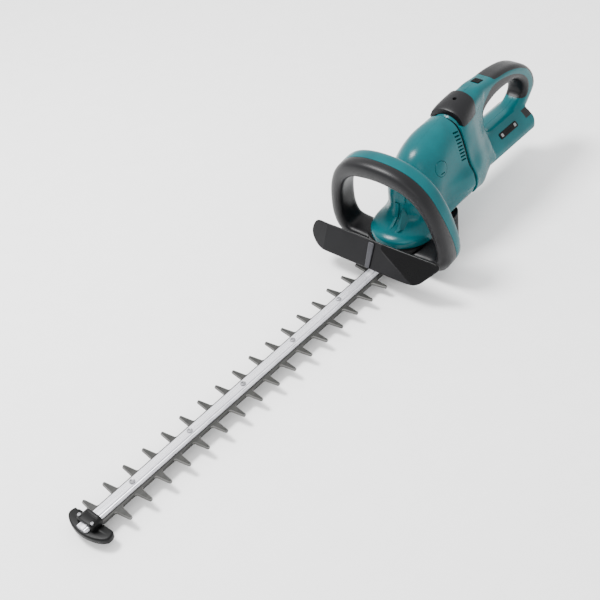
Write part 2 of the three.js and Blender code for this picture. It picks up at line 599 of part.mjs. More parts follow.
function swivel() {
  const { z, front, rear, size, bore, tube, flange, flangeThick, tubeRear } = SWIVEL;
  const section = range(36).map((n) => neckPoint(NECK, 0, ((n - 18) * 2 * Math.PI) / 36));
  const ring = outline(section.map((p) => [p.y * size, z + (p.z - z) * size]));
  const through = lengthRod(z, tube + GAP, rear - 9, front + 9);
  add("swivel_collar", cut(bulkhead(ring, rear, front - GAP), through), BLACK);
  const inside = front + HOUSING.wall + GAP;
  const collar = lengthRod(z, flange, inside, inside + flangeThick);
  const sleeve = join(lengthRod(z, tube, tubeRear, inside), collar);
  add("swivel_tube", cut(sleeve, lengthRod(z, bore, tubeRear - 9, inside + 9)), STEEL);
  const washerFront = rear - 2 * GAP - SHELL_WALL;
  add("swivel_retainer", cut(lengthRod(z, flange, washerFront - flangeThick, washerFront), through), STEEL);
}

// ---------------------------------------------------------------- rear handle

/** A point on the handle's neck: turn 0 is its top and turn PI its underside. */
function neckPoint(table, row, turn) {
  const [x, top, ...rest] = between(table, row);
  const low = rest.pop();
  const knots = [new THREE.Vector2(0, top)];
  for (let i = 0; i < rest.length; i += 2) knots.push(new THREE.Vector2(rest[i], rest[i + 1]));
  knots.push(new THREE.Vector2(0, low));
  const at = new THREE.SplineCurve(knots).getPoint(Math.abs(turn) / Math.PI);
  return new THREE.Vector3(x, Math.sign(turn) * at.x, at.y);
}

const neckSolid = (table) => loft(table.length - 1, 24, (row, turn) => neckPoint(table, row, turn));

/** The neck's table pulled in: at the top, on both sides and at the foot. */
const pulledIn = (table, top, side, foot) => table.map(([x, high, ...rest]) => {
  const low = rest.pop();
  const pairs = rest.map((value, i) => (i % 2 === 0 ? value - side : value - mix(top, -foot, i / rest.length)));
  return [x, high - top, ...pairs, low + foot];
});

function handleSolids() {
  const bar = smooth(GRIP_OUTER);
  bar.holes.push(smooth(GRIP_HOLE, 3, THREE.Path));
  const gripBar = slab(bar, -GRIP_BAR.half, GRIP_BAR.half, GRIP_BAR.bevel);
  const { front, rear, round, slopeFrom, slopeTo, slope } = LOWER_BODY;
  const half = PAD[0][0];
  const plan = outline([[front, -half], [front, half], [rear, half, round], [rear, -half, round]]);
  const side = outline([[front, 0], [front, slopeTo], [rear + slope, slopeTo], [rear, slopeFrom], [rear, 0]]);
  const pad = bulkhead(outline(mirrored(PAD)), rear, front, 0, 3)
    .intersect(plate(plan, 0, FAR, 0, 4))
    .intersect(slab(side, -FAR, FAR));
  return { gripBar, pad, neck: neckSolid(NECK) };
}

function rearHandle() {
  const { gripBar, pad, neck } = handleSolids();
  const whole = join(gripBar, pad, neck);
  const inner = pulledIn(NECK, 9, SHELL_WALL, SHELL_WALL);
  inner[0][0] -= SHELL_WALL;
  const cavity = join(
    neckSolid(inner),
    bulkhead(outline(mirrored(PAD_CAVITY)), LOWER_BODY.rear + 4, LOWER_BODY.front - 8),
  );
  const posts = HANDLE_POSTS.map(([x, z]) => crossRod(x, z, POST.radius, -FAR, FAR, 12));
  const frame = join(cut(whole, cavity), whole.intersect(join(...posts)));

  const { lever, leverSpace } = swivelLever(neck);
  const { outerGrip, innerGrip, gripSpace } = gripRubbers(gripBar);
  const { bumpers, bumperSpace } = rearBumpers(pad);
  const { panel, panelSpace } = controlPanel();
  const { front, rear, half, slotLow, slotHigh } = TRIGGER;
  const slot = block([rear - 1, front + 1], [-half - GAP, half + GAP], [slotLow, slotHigh]);
  const buttonWell = lockButtonBlock(GAP, LOCK_BUTTON.foot - LOCK_BUTTON.travel - 1);
  const tools = [leverSpace, gripSpace, bumperSpace, panelSpace, slot, buttonWell, batteryBay(), swivelBore()];
  const [left, right] = splitShell(cut(frame, ...tools), HANDLE_POSTS);
  add("handle_left", left, TEAL);
  add("handle_right", right, TEAL);
  shellScrews("handle_screw", HANDLE_POSTS);
  add("swivel_lever", lever, RUBBER);
  add("grip_outer", cut(outerGrip, slot, buttonWell), RUBBER);
  add("grip_inner", cut(innerGrip, slot), RUBBER);
  add("rear_bumper_left", bumpers[0], RUBBER);
  add("rear_bumper_right", bumpers[1], RUBBER);
  add("control_panel", panel, BLACK);
  panelButtons();
  const buttonTop = raised(whole, LOCK_BUTTON.proud);
  add("lock_off_button", lockButtonBlock(0, LOCK_BUTTON.foot).intersect(buttonTop), BLACK);
  triggerParts();
  handleInsides();
}

const raised = (part, height) => part.translate([0, 0, height]);
const swivelBore = () => lengthRod(SWIVEL.z, SWIVEL.tube + GAP, SWIVEL.tubeRear - 1, SWIVEL.rear + 1);

function batteryBay() {
  const { front, half, lipHalf, lip, high } = BATTERY_BAY;
  return join(
    block([-3 * FAR, front], [-half, half], [lip, high]),
    block([-3 * FAR, front], [-lipHalf, lipHalf], [0, lip + 1]),
  );
}

/** The swivel lock is a saddle over the neck, which slides forward in an open recess. */
function swivelLever(neck) {
  const { front, rear, low, thick, proud, sideSlack } = LEVER;
  const region = (grow, nose) => slab(
    outline([[nose, low - grow], [rear - grow, low - grow], [rear - grow, FAR], [nose, FAR]]), -FAR, FAR);
  const core = neckSolid(pulledIn(NECK, thick, thick, 0));
  const clearCore = neckSolid(pulledIn(NECK, thick + GAP, thick + GAP + sideSlack, 0));
  return {
    lever: cut(join(neck, raised(neck, proud)).intersect(region(0, front)), core),
    leverSpace: cut(region(GAP, SWIVEL.rear + 1), clearCore),
  };
}

function gripRubbers(gripBar) {
  const outerRegion = slab(outline(OUTER_GRIP_EDGE), -FAR, FAR);
  const { front, low, growX, growZ, middleX, middleZ, spanX, spanZ } = INNER_GRIP;
  const grow = (extra) => smooth(GRIP_HOLE.map(([x, z]) => [
    middleX + (x - middleX) * (growX + extra / spanX),
    middleZ + (z - middleZ) * (growZ + extra / spanZ),
  ]));
  const innerBox = (gap) => block([-3 * FAR, front + gap], [-FAR, FAR], [low - gap, FAR]);
  const innerRegion = (gap) => slab(grow(gap), -FAR, FAR).intersect(innerBox(gap));
  const outerGrip = gripBar.intersect(outerRegion);
  const innerGrip = gripBar.intersect(innerRegion(0));
  const outerSpace = slab(outline(OUTER_GRIP_EDGE.map(([x, z]) => [x + GAP, z - GAP])), -FAR, FAR);
  return { outerGrip, innerGrip, gripSpace: join(outerSpace, innerRegion(GAP)) };
}

function rearBumpers(pad) {
  const { front, low, high, inside } = BUMPER;
  const region = (side, gap) => block([-3 * FAR, front + gap],
    side > 0 ? [inside - gap, FAR] : [-FAR, gap - inside], [low - gap, high + gap]);
  const thin = pad.translate([3, 0, -3]);
  return {
    bumpers: [1, -1].map((side) => cut(pad.intersect(region(side, 0)), thin)),
    bumperSpace: cut(join(region(1, GAP), region(-1, GAP)), thin.translate([GAP, 0, -GAP])),
  };
}

/** Places a piece drawn flat about the control panel's middle, with +Z out of the handle. */
const onPanel = (part) => part.rotate([-90 + PANEL.tilt, 0, 0]).translate([PANEL.x, PANEL.y, PANEL.z]);

function panelPlate(grow, depth, top) {
  const [x, y] = [PANEL.length / 2 + grow, PANEL.width / 2 + grow];
  return onPanel(plate(outline([[-x, -y, 2], [x, -y, 2], [x, y, 2], [-x, y, 2]]), -depth, top, 0, 3));
}

function buttonPrism(side, grow, low, high) {
  const half = PANEL.button / 2 + grow;
  const x = side * PANEL.buttonAt;
  return onPanel(block([x - half, x + half], [-half, half], [low, high]));
}

function controlPanel() {
  const { depth, proud, wellFloor } = PANEL;
  const wells = [-1, 1].map((side) => buttonPrism(side, GAP, -wellFloor, depth));
  return { panel: cut(panelPlate(0, depth, proud), ...wells), panelSpace: panelPlate(GAP, depth + GAP, 20) };
}

function panelButtons() {
  const { wellFloor, proud } = PANEL;
  ["front", "rear"].forEach((name, i) => {
    add(`panel_button_${name}`, buttonPrism(1 - 2 * i, 0, 1.1 - wellFloor, 2 * proud), LIGHT_GREY);
  });
}

function lockButtonBlock(grow, low) {
  const { x, half } = LOCK_BUTTON;
  const reach = half + grow;
  return block([x - reach, x + reach], [-reach, reach], [low, FAR]);
}

function triggerParts() {
  const { half } = TRIGGER;
  add("trigger", slab(outline(TRIGGER_SIDE.map(([x, z]) => [x, z, 2])), -half, half, 1, 2), BLACK);
  const { front, rear, low, high } = SWITCH;
  add("trigger_switch", block([rear, front], [-half, half], [low, high]), CARBON);
}

function handleInsides() {
  const c = CONTROLLER;
  add("controller", block([c.rear, c.front], [-c.half, c.half], [c.low, c.high]), BOARD);
  const { rear, half, low, blade: fin, finHalf, pitch } = TERMINALS;
  const { front, high } = BATTERY_BAY;
  const body = block([rear + 10, front - GAP], [-half, half], [low, high - GAP]);
  const fins = [-pitch, 0, pitch].map((y) =>
    block([rear, rear + 11], [y - finHalf, y + finHalf], [low + 1, high - fin]));
  add("terminal_block", join(body, ...fins), CARBON);
}

// ---------------------------------------------------------------- assembly

cutterBar();
noseGuard();
handGuard();
const housingOuter = housingSolid(HOUSING_LEVELS, 32);
frontHandle(housingOuter);
housing(housingOuter);
gearCase();
drive();
motor();
brushes(housingOuter);
swivel();
rearHandle();
machine.position.set(-ORIGIN.x, 0, -ORIGIN.z);

export default machine;
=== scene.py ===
"""The looks of the hedge trimmer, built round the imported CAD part. Shapes are made in millimetres in the
blade frame (X towards the nose, Z up, zero between the blades) and put into the row frame at the end."""

import json
import math

import bmesh
import bpy
import numpy as np
from mathutils import Matrix, Vector

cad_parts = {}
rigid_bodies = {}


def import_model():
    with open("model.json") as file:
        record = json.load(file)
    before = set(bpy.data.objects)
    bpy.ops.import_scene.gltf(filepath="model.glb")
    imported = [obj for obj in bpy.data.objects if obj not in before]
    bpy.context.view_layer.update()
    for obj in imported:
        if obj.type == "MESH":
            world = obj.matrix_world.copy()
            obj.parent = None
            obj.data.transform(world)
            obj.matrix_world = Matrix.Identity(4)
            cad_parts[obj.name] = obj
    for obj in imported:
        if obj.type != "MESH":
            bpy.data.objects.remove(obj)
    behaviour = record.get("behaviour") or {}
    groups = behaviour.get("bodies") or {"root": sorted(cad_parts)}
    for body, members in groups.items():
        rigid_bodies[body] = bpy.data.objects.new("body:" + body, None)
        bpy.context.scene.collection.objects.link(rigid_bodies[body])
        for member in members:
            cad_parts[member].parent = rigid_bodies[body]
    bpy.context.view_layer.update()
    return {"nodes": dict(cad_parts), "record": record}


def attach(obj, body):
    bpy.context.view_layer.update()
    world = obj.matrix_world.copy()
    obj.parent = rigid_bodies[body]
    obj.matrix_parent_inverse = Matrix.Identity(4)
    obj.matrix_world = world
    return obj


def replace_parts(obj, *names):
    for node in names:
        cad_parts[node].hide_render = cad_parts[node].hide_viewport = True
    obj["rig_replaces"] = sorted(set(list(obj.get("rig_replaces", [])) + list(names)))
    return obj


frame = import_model()

ORIGIN = (-442.6, 0.0, -16.0)
TO_ROW = Matrix.Scale(0.001, 4) @ Matrix.Translation([-c for c in ORIGIN])
FAR = 400
GAP = 0.3

# ---------------------------------------------------------------- shared dimensions, blade frame, mm

PITCH, TEETH = 32.5, 17
SCREWS = [-51 - 3 * PITCH * n for n in range(5)]
CASE_LOW, CASE_HIGH, BASE_LOW, BASE_HIGH = -12, 29.7, -16, -12.3
SWIVEL_Z = 98
MOTOR_X, BRUSH_Z = -640, 118

# height, front, back, half-width amidships, half-width at the back
HOUSING = [
    (30, -547, -678, 46, 30), (38, -547, -693, 46.5, 38), (44, -553, -697, 45, 44), (50, -571, -697, 42, 48),
    (58, -583, -697, 41, 51), (66, -586, -697, 41, 54), (82, -587, -697, 41.5, 51), (95, -590, -697, 41, 43),
    (121, -603, -697, 37, 35.5), (141, -621, -697, 30, 29), (153, -648, -697, 20, 21),
    (158, -670, -697, 11.5, 12), (160.5, -688, -697, 3, 3),
]
# x, top, then y and z of the shoulder, upper side, middle, hip and foot, bottom
NECK = [
    (-703.3, 160.5, 21, 154, 34, 125, 42, 95, 53.5, 68, 44, 42, 35),
    (-709, 164, 23, 157, 34, 125, 41, 95, 52, 68, 43, 42, 35),
    (-730, 170, 21, 163, 30, 132, 38, 100, 47, 70, 42, 40, 33),
    (-750, 173.5, 19, 166, 23, 138, 31, 104, 41, 72, 38.5, 49, 44),
    (-762, 174.5, 18, 167, 19.5, 140, 25, 108, 37, 78, 38, 57, 52),
    (-773, 173.5, 17.5, 166, 18, 142, 20, 110, 33, 80, 38, 58, 52),
]
PAD = [(38.5, 52, 5), (38, 61, 4), (31.5, 73, 5), (23, 82, 5), (14, 88, 5)]
PAD_CAVITY = [(30, 70), (28, 72), (21, 79), (13, 84.4)]
PAD_FRONT, PAD_REAR = -757, -892
GRIP_OUTER = [(-752, 169), (-800, 172), (-835, 170), (-870, 162), (-898, 146), (-915, 126), (-919, 107),
              (-907, 90), (-880, 70), (-800, 62), (-752, 76)]
GRIP_HOLE = [(-773, 111), (-781, 130), (-805, 140), (-838, 142), (-866, 137), (-884, 121), (-887, 104),
             (-870, 91), (-832, 87), (-793, 89)]
OUTER_GRIP_EDGE = [(-803, 190), (-803, 168.8), (-813, 167.5), (-829, 166.2), (-842, 164.4), (-860.6, 159.5),
                   (-878, 152.5), (-894.6, 142.7), (-905, 129), (-910, 113), (-908, 98), (-950, 95),
                   (-950, 190)]
INNER_GRIP_EDGE = [(-768, 126), (-770, 137.7), (-775.5, 144.5), (-783.5, 152), (-791.4, 158.5), (-800, 162.3),
                   (-817.8, 162), (-833.8, 159.6), (-852.7, 154.5), (-868, 148), (-883.3, 138.5),
                   (-894.9, 126), (-898.3, 113), (-895.6, 101), (-890, 97), (-872, 97), (-830, 108), (-795, 118)]
LOOP_OUTER = [(0, 168), (30, 165), (54, 156), (74, 138), (87, 113), (96, 80), (100, 46), (97, 22), (84, 6),
              (60, 1), (0, 0)]
LOOP_HOLE = [(0, 142), (22, 140), (42, 135), (60, 120), (72, 97), (79, 68), (81, 42), (75, 27), (56, 24),
             (24, 24), (0, 24)]
LOOP_LEAN, LOOP_FOOT, LOOP_LOW, LOOP_DEPTH, LOOP_GRIP, LOOP_MIDDLE = 9.5, -559.5, 14, 40, 25, 80
PANEL = {"x": -824.5, "y": 27.8, "z": 77.2, "tilt": 42}
KEY_AT, KEY_HALF, KEY_CORNER = 17, 2.5, 0.8
BAR_HALF, BAR_TOP = 8.5, 8.3
YOKE_X, SLOT_LENGTH, SLOT_RADIUS = -600, 12, 3.6
NOSE_SCREW = (21, 11.3)
GUARD_LEAN, GUARD_FOOT, GUARD_LOW, GUARD_HIGH = -24.4, -505.6, 18, 56
SWIVEL_BORE, SCREW_BORE = 24.3, 4.2
COLLAR_FRONT, COLLAR_REAR = -697.3, -703
LEVER_FRONT, LEVER_REAR, LEVER_LOW, LEVER_PROUD = -706.4, -745, 147, 3.5

# ---------------------------------------------------------------- meshes


def piece(name, verts, faces):
    """A new object from vertices and faces, with its faces turned outwards."""
    mesh = bpy.data.meshes.new(name)
    mesh.from_pydata([tuple(map(float, v)) for v in verts], [], faces)
    bm = bmesh.new()
    bm.from_mesh(mesh)
    bmesh.ops.remove_doubles(bm, verts=bm.verts[:], dist=1e-5)
    bmesh.ops.recalc_face_normals(bm, faces=bm.faces[:])
    bm.to_mesh(mesh)
    bm.free()
    obj = bpy.data.objects.new(name, mesh)
    bpy.context.scene.collection.objects.link(obj)
    return obj


def loft(name, rings, ends=True):
    """A skin through rings of points. Without ends the last ring joins the first."""
    rings = np.asarray(rings, float)
    rows, count = rings.shape[:2]
    faces = []
    for i in range(rows - 1 if ends else rows):
        j = (i + 1) % rows
        for k in range(count):
            m = (k + 1) % count
            faces.append((i * count + k, i * count + m, j * count + m, j * count + k))
    if ends:
        faces.append(tuple(range(count - 1, -1, -1)))
        faces.append(tuple((rows - 1) * count + k for k in range(count)))
    return piece(name, rings.reshape(-1, 3), faces)


def settle(obj):
    """Makes an object's modifiers real."""
    graph = bpy.context.evaluated_depsgraph_get()
    mesh = bpy.data.meshes.new_from_object(obj.evaluated_get(graph))
    old = obj.data
    obj.modifiers.clear()
    obj.data = mesh
    bpy.data.meshes.remove(old)
    return obj


def drop(*objs):
    for obj in objs:
        bpy.data.objects.remove(obj)


def twin(obj, name=None):
    other = bpy.data.objects.new(name or obj.name, obj.data.copy())
    bpy.context.scene.collection.objects.link(other)
    return other


def combine(obj, tool, how, keep=False):
    mod = obj.modifiers.new(how, "BOOLEAN")
    mod.operation, mod.solver, mod.object = how, "MANIFOLD", tool
    settle(obj)
    if not keep:
        drop(tool)
    return obj


def cut(obj, *tools, keep=False):
    for tool in tools:
        combine(obj, tool, "DIFFERENCE", keep)
    return obj


def join(obj, *tools):
    for tool in tools:
        combine(obj, tool, "UNION")
    return obj


def common(obj, tool, keep=False):
    return combine(obj, tool, "INTERSECT", keep)


def remesh(obj, size, passes):
    """One even skin, with the creases between joined shapes blended."""
    mod = obj.modifiers.new("skin", "REMESH")
    mod.mode, mod.voxel_size, mod.adaptivity = "VOXEL", size, 0.0
    settle(obj)
    mod = obj.modifiers.new("blend", "SMOOTH")
    mod.factor, mod.iterations = 0.5, passes
    return settle(obj)


def soften(obj, width, segments=2, angle=38):
    """Small rounded edges."""
    mod = obj.modifiers.new("edge", "BEVEL")
    mod.width, mod.segments, mod.limit_method = width, segments, "ANGLE"
    mod.angle_limit, mod.use_clamp_overlap = math.radians(angle), True
    return settle(obj)


def shift(obj, change):
    """Moves every vertex by a function of the (n, 3) array of places."""
    co = np.zeros(len(obj.data.vertices) * 3, np.float32)
    obj.data.vertices.foreach_get("co", co)
    moved = change(co.reshape(-1, 3).astype(float))
    obj.data.vertices.foreach_set("co", moved.astype(np.float32).ravel())
    obj.data.update()
    return obj


def turn(obj, matrix):
    obj.data.transform(matrix)
    return obj


# ---------------------------------------------------------------- outlines


def centripetal(points, steps):
    """A smooth closed curve through points."""
    pts = np.asarray(points, float)
    out = []
    for i in range(len(pts)):
        p = [pts[(i + k) % len(pts)] for k in (-1, 0, 1, 2)]
        d = [max(np.linalg.norm(p[k + 1] - p[k]), 1e-6) ** 0.5 for k in range(3)]
        t1 = (p[1] - p[0]) / d[0] - (p[2] - p[0]) / (d[0] + d[1]) + (p[2] - p[1]) / d[1]
        t2 = (p[2] - p[1]) / d[1] - (p[3] - p[1]) / (d[1] + d[2]) + (p[3] - p[2]) / d[2]
        t1, t2 = t1 * d[1], t2 * d[1]
        for s in np.arange(steps) / steps:
            h = [2 * s**3 - 3 * s**2 + 1, s**3 - 2 * s**2 + s, -2 * s**3 + 3 * s**2, s**3 - s**2]
            out.append(h[0] * p[1] + h[1] * t1 + h[2] * p[2] + h[3] * t2)
    return np.array(out)


def rounded(points, steps=6):
    """A polygon of (x, y) or (x, y, radius) corners."""
    out = []
    n = len(points)
    for i, corner in enumerate(points):
        at = np.array(corner[:2], float)
        radius = corner[2] if len(corner) > 2 else 0
        if not radius:
            out.append(at)
            continue
        ends = []
        for other in (points[i - 1], points[(i + 1) % n]):
            step = np.array(other[:2], float) - at
            length = np.linalg.norm(step)
            ends.append(at + step / length * min(radius, length / 2))
        for s in np.linspace(0, 1, steps + 1):
            out.append((1 - s) ** 2 * ends[0] + 2 * s * (1 - s) * at + s**2 * ends[1])
    out = np.array(out)
    return out[np.linalg.norm(out - np.roll(out, 1, 0), axis=1) > 1e-4]


def tablet(middle, half_x, half_y, radius, steps=6):
    """A rectangle with rounded corners."""
    x, y = middle
    corners = [(-half_x, -half_y), (half_x, -half_y), (half_x, half_y), (-half_x, half_y)]
    return rounded([(x + dx, y + dy, radius) for dx, dy in corners], steps)


def oval(x, y, rx, ry=None, count=32):
    a = np.linspace(0, 2 * math.pi, count, endpoint=False)
    return np.stack([x + rx * np.cos(a), y + (ry or rx) * np.sin(a)], 1)


def inset(points, by):
    """The outline moved inwards along its corner normals."""
    pts = np.asarray(points, float)
    area = np.sum(pts[:, 0] * np.roll(pts[:, 1], -1) - np.roll(pts[:, 0], -1) * pts[:, 1])
    if area < 0:
        return inset(pts[::-1], by)[::-1]
    before = pts - np.roll(pts, 1, 0)
    after = np.roll(pts, -1, 0) - pts
    n1 = np.stack([-before[:, 1], before[:, 0]], 1) / np.linalg.norm(before, axis=1)[:, None]
    n2 = np.stack([-after[:, 1], after[:, 0]], 1) / np.linalg.norm(after, axis=1)[:, None]
    both = n1 + n2
    both /= np.maximum(np.sum(both * both, 1), 0.5)[:, None]
    return pts + 2 * both * by


AXES = {
    "x": lambda p, a: (a, p[0], p[1]),
    "y": lambda p, a: (p[0], a, p[1]),
    "z": lambda p, a: (p[0], p[1], a),
}


def prism(name, points, axis, low, high, bevel=0.0, steps=3):
    """An outline drawn out along an axis, with rounded rims."""
    rims = []
    size = abs(bevel)
    for s in np.linspace(0, 1, steps + 1) if bevel else [1.0]:
        a = s * math.pi / 2
        rims.append((math.copysign(size * (1 - math.sin(a)), bevel), size * (1 - math.cos(a))))
    rows = [(by, low + depth) for by, depth in rims]
    rows += [(by, high - depth) for by, depth in reversed(rims)]
    place = AXES[axis]
    rings = [[place(p, a) for p in (inset(points, by) if by else np.asarray(points))] for by, a in rows]
    return loft(name, rings)


def box(x, y, z):
    corners = [(x[0], y[0]), (x[1], y[0]), (x[1], y[1]), (x[0], y[1])]
    return prism("box", corners, "z", z[0], z[1])


def rod(name, centre, radius, low, high, axis="z", count=32, bevel=0.0):
    return prism(name, oval(*centre, radius, count=count), axis, low, high, bevel)


def turned(name, x, y, profile, count=32):
    """A turned piece about an upright axis, from (radius, height) pairs."""
    angles = np.linspace(0, 2 * math.pi, count, endpoint=False)
    rings = []
    for radius, z in profile:
        r = max(radius, 0.01)
        rings.append([(x + r * math.cos(a), y + r * math.sin(a), z) for a in angles])
    return loft(name, rings)


def easy(xs, ys, at):
    """A smooth curve through values that doesn't overshoot."""
    xs, ys = np.asarray(xs, float), np.asarray(ys, float)
    h = np.diff(xs)
    d = np.diff(ys, axis=0) / h[:, None]
    slopes = np.zeros_like(ys)
    slopes[0], slopes[-1] = d[0], d[-1]
    flat = d[:-1] * d[1:] > 0
    w1, w2 = (2 * h[1:] + h[:-1])[:, None], (h[1:] + 2 * h[:-1])[:, None]
    safe = np.where(flat, w1 / np.where(d[:-1] == 0, 1, d[:-1]) + w2 / np.where(d[1:] == 0, 1, d[1:]), 1)
    slopes[1:-1] = np.where(flat, (w1 + w2) / safe, 0)
    at = np.clip(np.asarray(at, float), xs[0], xs[-1])
    i = np.clip(np.searchsorted(xs, at, side="right") - 1, 0, len(xs) - 2)
    s = ((at - xs[i]) / h[i])[:, None]
    step = h[i][:, None]
    return ((2 * s**3 - 3 * s**2 + 1) * ys[i] + (s**3 - 2 * s**2 + s) * step * slopes[i]
            + (-2 * s**3 + 3 * s**2) * ys[i + 1] + (s**3 - s**2) * step * slopes[i + 1])


def ramp(value, low, high):
    s = np.clip((value - low) / (high - low), 0, 1)
    return s * s * (3 - 2 * s)


# ---------------------------------------------------------------- materials


GLOSS_SPREAD = 0.06


def material(name, low, high, rough, metal, grain, bump, streak=(1, 1, 1), shine=0.5):
    """A painted, moulded or ground surface: its tone, gloss and fine relief all vary a little."""
    made = bpy.data.materials.new(name)
    made.use_nodes = True
    tree = made.node_tree
    shader = tree.nodes["Principled BSDF"]
    shader.inputs["Metallic"].default_value = metal
    shader.inputs["Specular IOR Level"].default_value = shine
    where = tree.nodes.new("ShaderNodeTexCoord")
    stretch = tree.nodes.new("ShaderNodeMapping")
    stretch.inputs["Scale"].default_value = streak
    tree.links.new(where.outputs["Object"], stretch.inputs["Vector"])
    broad = tree.nodes.new("ShaderNodeTexNoise")
    broad.inputs["Scale"].default_value = 28
    broad.inputs["Detail"].default_value = 5
    fine = tree.nodes.new("ShaderNodeTexNoise")
    fine.inputs["Scale"].default_value = grain
    fine.inputs["Detail"].default_value = 3
    tree.links.new(stretch.outputs["Vector"], broad.inputs["Vector"])
    tree.links.new(stretch.outputs["Vector"], fine.inputs["Vector"])
    tone = tree.nodes.new("ShaderNodeValToRGB")
    tone.color_ramp.elements[0].position, tone.color_ramp.elements[1].position = 0.3, 0.7
    tone.color_ramp.elements[0].color = (*low, 1)
    tone.color_ramp.elements[1].color = (*high, 1)
    tree.links.new(broad.outputs["Fac"], tone.inputs["Fac"])
    tree.links.new(tone.outputs["Color"], shader.inputs["Base Color"])
    gloss = tree.nodes.new("ShaderNodeMapRange")
    gloss.inputs["To Min"].default_value = max(rough - GLOSS_SPREAD, 0.05)
    gloss.inputs["To Max"].default_value = min(rough + GLOSS_SPREAD, 1.0)
    tree.links.new(fine.outputs["Fac"], gloss.inputs["Value"])
    tree.links.new(gloss.outputs["Result"], shader.inputs["Roughness"])
    relief = tree.nodes.new("ShaderNodeBump")
    relief.inputs["Strength"].default_value = bump
    relief.inputs["Distance"].default_value = 0.001
    tree.links.new(fine.outputs["Fac"], relief.inputs["Height"])
    tree.links.new(relief.outputs["Normal"], shader.inputs["Normal"])
    return made


LOOKS = {
    "blade_steel": material(
        "blade_steel", (0.016, 0.016, 0.015), (0.036, 0.036, 0.034),
        0.42, 0.2, 700, 0.03, (0.2, 6, 1), shine=0.25,
    ),
    "ground_steel": material(
        "ground_steel", (0.07, 0.07, 0.067), (0.14, 0.14, 0.135),
        0.36, 0.4, 800, 0.04, (6, 0.3, 1), shine=0.4,
    ),
    "bar_steel": material(
        "bar_steel", (0.66, 0.66, 0.70), (0.80, 0.80, 0.84),
        0.28, 0.6, 700, 0.03, (0.1, 5, 1),
    ),
    "screw_steel": material("screw_steel", (0.24, 0.24, 0.25), (0.38, 0.38, 0.40), 0.3, 0.85, 900, 0.02),
    "nose_black": material(
        "nose_black", (0.0018, 0.0019, 0.002), (0.003, 0.0032, 0.0034),
        0.42, 0, 1600, 0.08, shine=0.14,
    ),
    "smoke_guard": material(
        "smoke_guard", (0.0036, 0.0036, 0.0042), (0.0052, 0.0052, 0.006),
        0.3, 0, 1100, 0.03, shine=0.18,
    ),
    # A darker copy of the guard's smoked plastic for the faces past its crease: painted shade standing for a
    # dark reflection there, not a different plastic.
    "smoke_painted_reflection": material(
        "smoke_painted_reflection", (0.0012, 0.0012, 0.0014), (0.002, 0.002, 0.0022),
        0.28, 0, 1100, 0.03, shine=0.12,
    ),
    "rib_steel": material(
        "rib_steel", (0.03, 0.03, 0.034), (0.05, 0.05, 0.056),
        0.34, 0.3, 700, 0.02, (1, 6, 0.3), shine=0.25,
    ),
    "rubber": material(
        "rubber", (0.0036, 0.0036, 0.0044), (0.0056, 0.0056, 0.0066),
        0.36, 0, 2200, 0.12, shine=0.2,
    ),
    "teal_shell": material(
        "teal_shell", (0.0, 0.060, 0.070), (0.0, 0.080, 0.091),
        0.24, 0, 1800, 0.04, shine=0.17,
    ),
    "black_plastic": material(
        "black_plastic", (0.0015, 0.0015, 0.0017), (0.0025, 0.0025, 0.0028),
        0.36, 0, 1600, 0.08, shine=0.1,
    ),
    "grey_plastic": material(
        "grey_plastic", (0.16, 0.165, 0.17), (0.22, 0.225, 0.23),
        0.42, 0, 1400, 0.06, shine=0.3,
    ),
    "gear_steel": material("gear_steel", (0.22, 0.21, 0.20), (0.33, 0.32, 0.31), 0.4, 0.8, 800, 0.05),
    "bearing_steel": material(
        "bearing_steel", (0.45, 0.45, 0.47), (0.58, 0.58, 0.60),
        0.25, 0.9, 900, 0.02,
    ),
    "copper": material("copper", (0.34, 0.12, 0.05), (0.46, 0.19, 0.08), 0.4, 0.8, 900, 0.10, (1, 1, 8)),
    "inner_plastic": material(
        "inner_plastic", (0.015, 0.016, 0.018), (0.026, 0.027, 0.03),
        0.5, 0, 1200, 0.08,
    ),
    "swivel_plastic": material(
        "swivel_plastic", (0.0018, 0.0018, 0.002), (0.003, 0.003, 0.0034),
        0.4, 0, 1600, 0.08, shine=0.16,
    ),
}


def place(obj, body, slot, stands_for=(), look=None, angle=34):
    """Puts a finished piece into the row frame and gives it its body, slot and look."""
    obj.data.transform(TO_ROW)
    obj.data.shade_smooth()
    obj.data.set_sharp_from_angle(angle=math.radians(angle))
    obj.data.materials.clear()
    obj.data.materials.append(LOOKS[look or slot])
    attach(obj, body)
    if stands_for:
        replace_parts(obj, *stands_for)
    return obj


# ---------------------------------------------------------------- cutter bar


def blade_outline(trim):
    """Both rows of teeth as one outline; trim narrows the teeth, for the ground faces."""
    root, root_half, reach, tip_half = 12, 5.2 - trim, 34 - trim * 0.5, 2.7 - trim
    tip = []
    for a in np.linspace(0, 1, 4):
        angle = a * math.pi / 2
        tip.append((-tip_half * math.cos(angle), reach - tip_half * 0.7 * (1 - math.sin(angle))))
    tip += [(-x, y) for x, y in reversed(tip[:-1])]
    flank = [(root_half, root + 1.6), (root_half + 2.2, root)]
    tooth = [*[(-x, y) for x, y in reversed(flank)], *tip, *flank]
    points = [(8, root)]
    for n in range(TEETH):
        points += [(-PITCH * (n + 0.5) - dx, y) for dx, y in tooth]
    points += [(-570, root), (-570, -root)]
    for n in reversed(range(TEETH)):
        points += [(min(-PITCH * n + dx, 8 - 0.01 * dx), -y) for dx, y in tooth]
    points.append((8.0, -root - 0.001))
    return np.array(points)


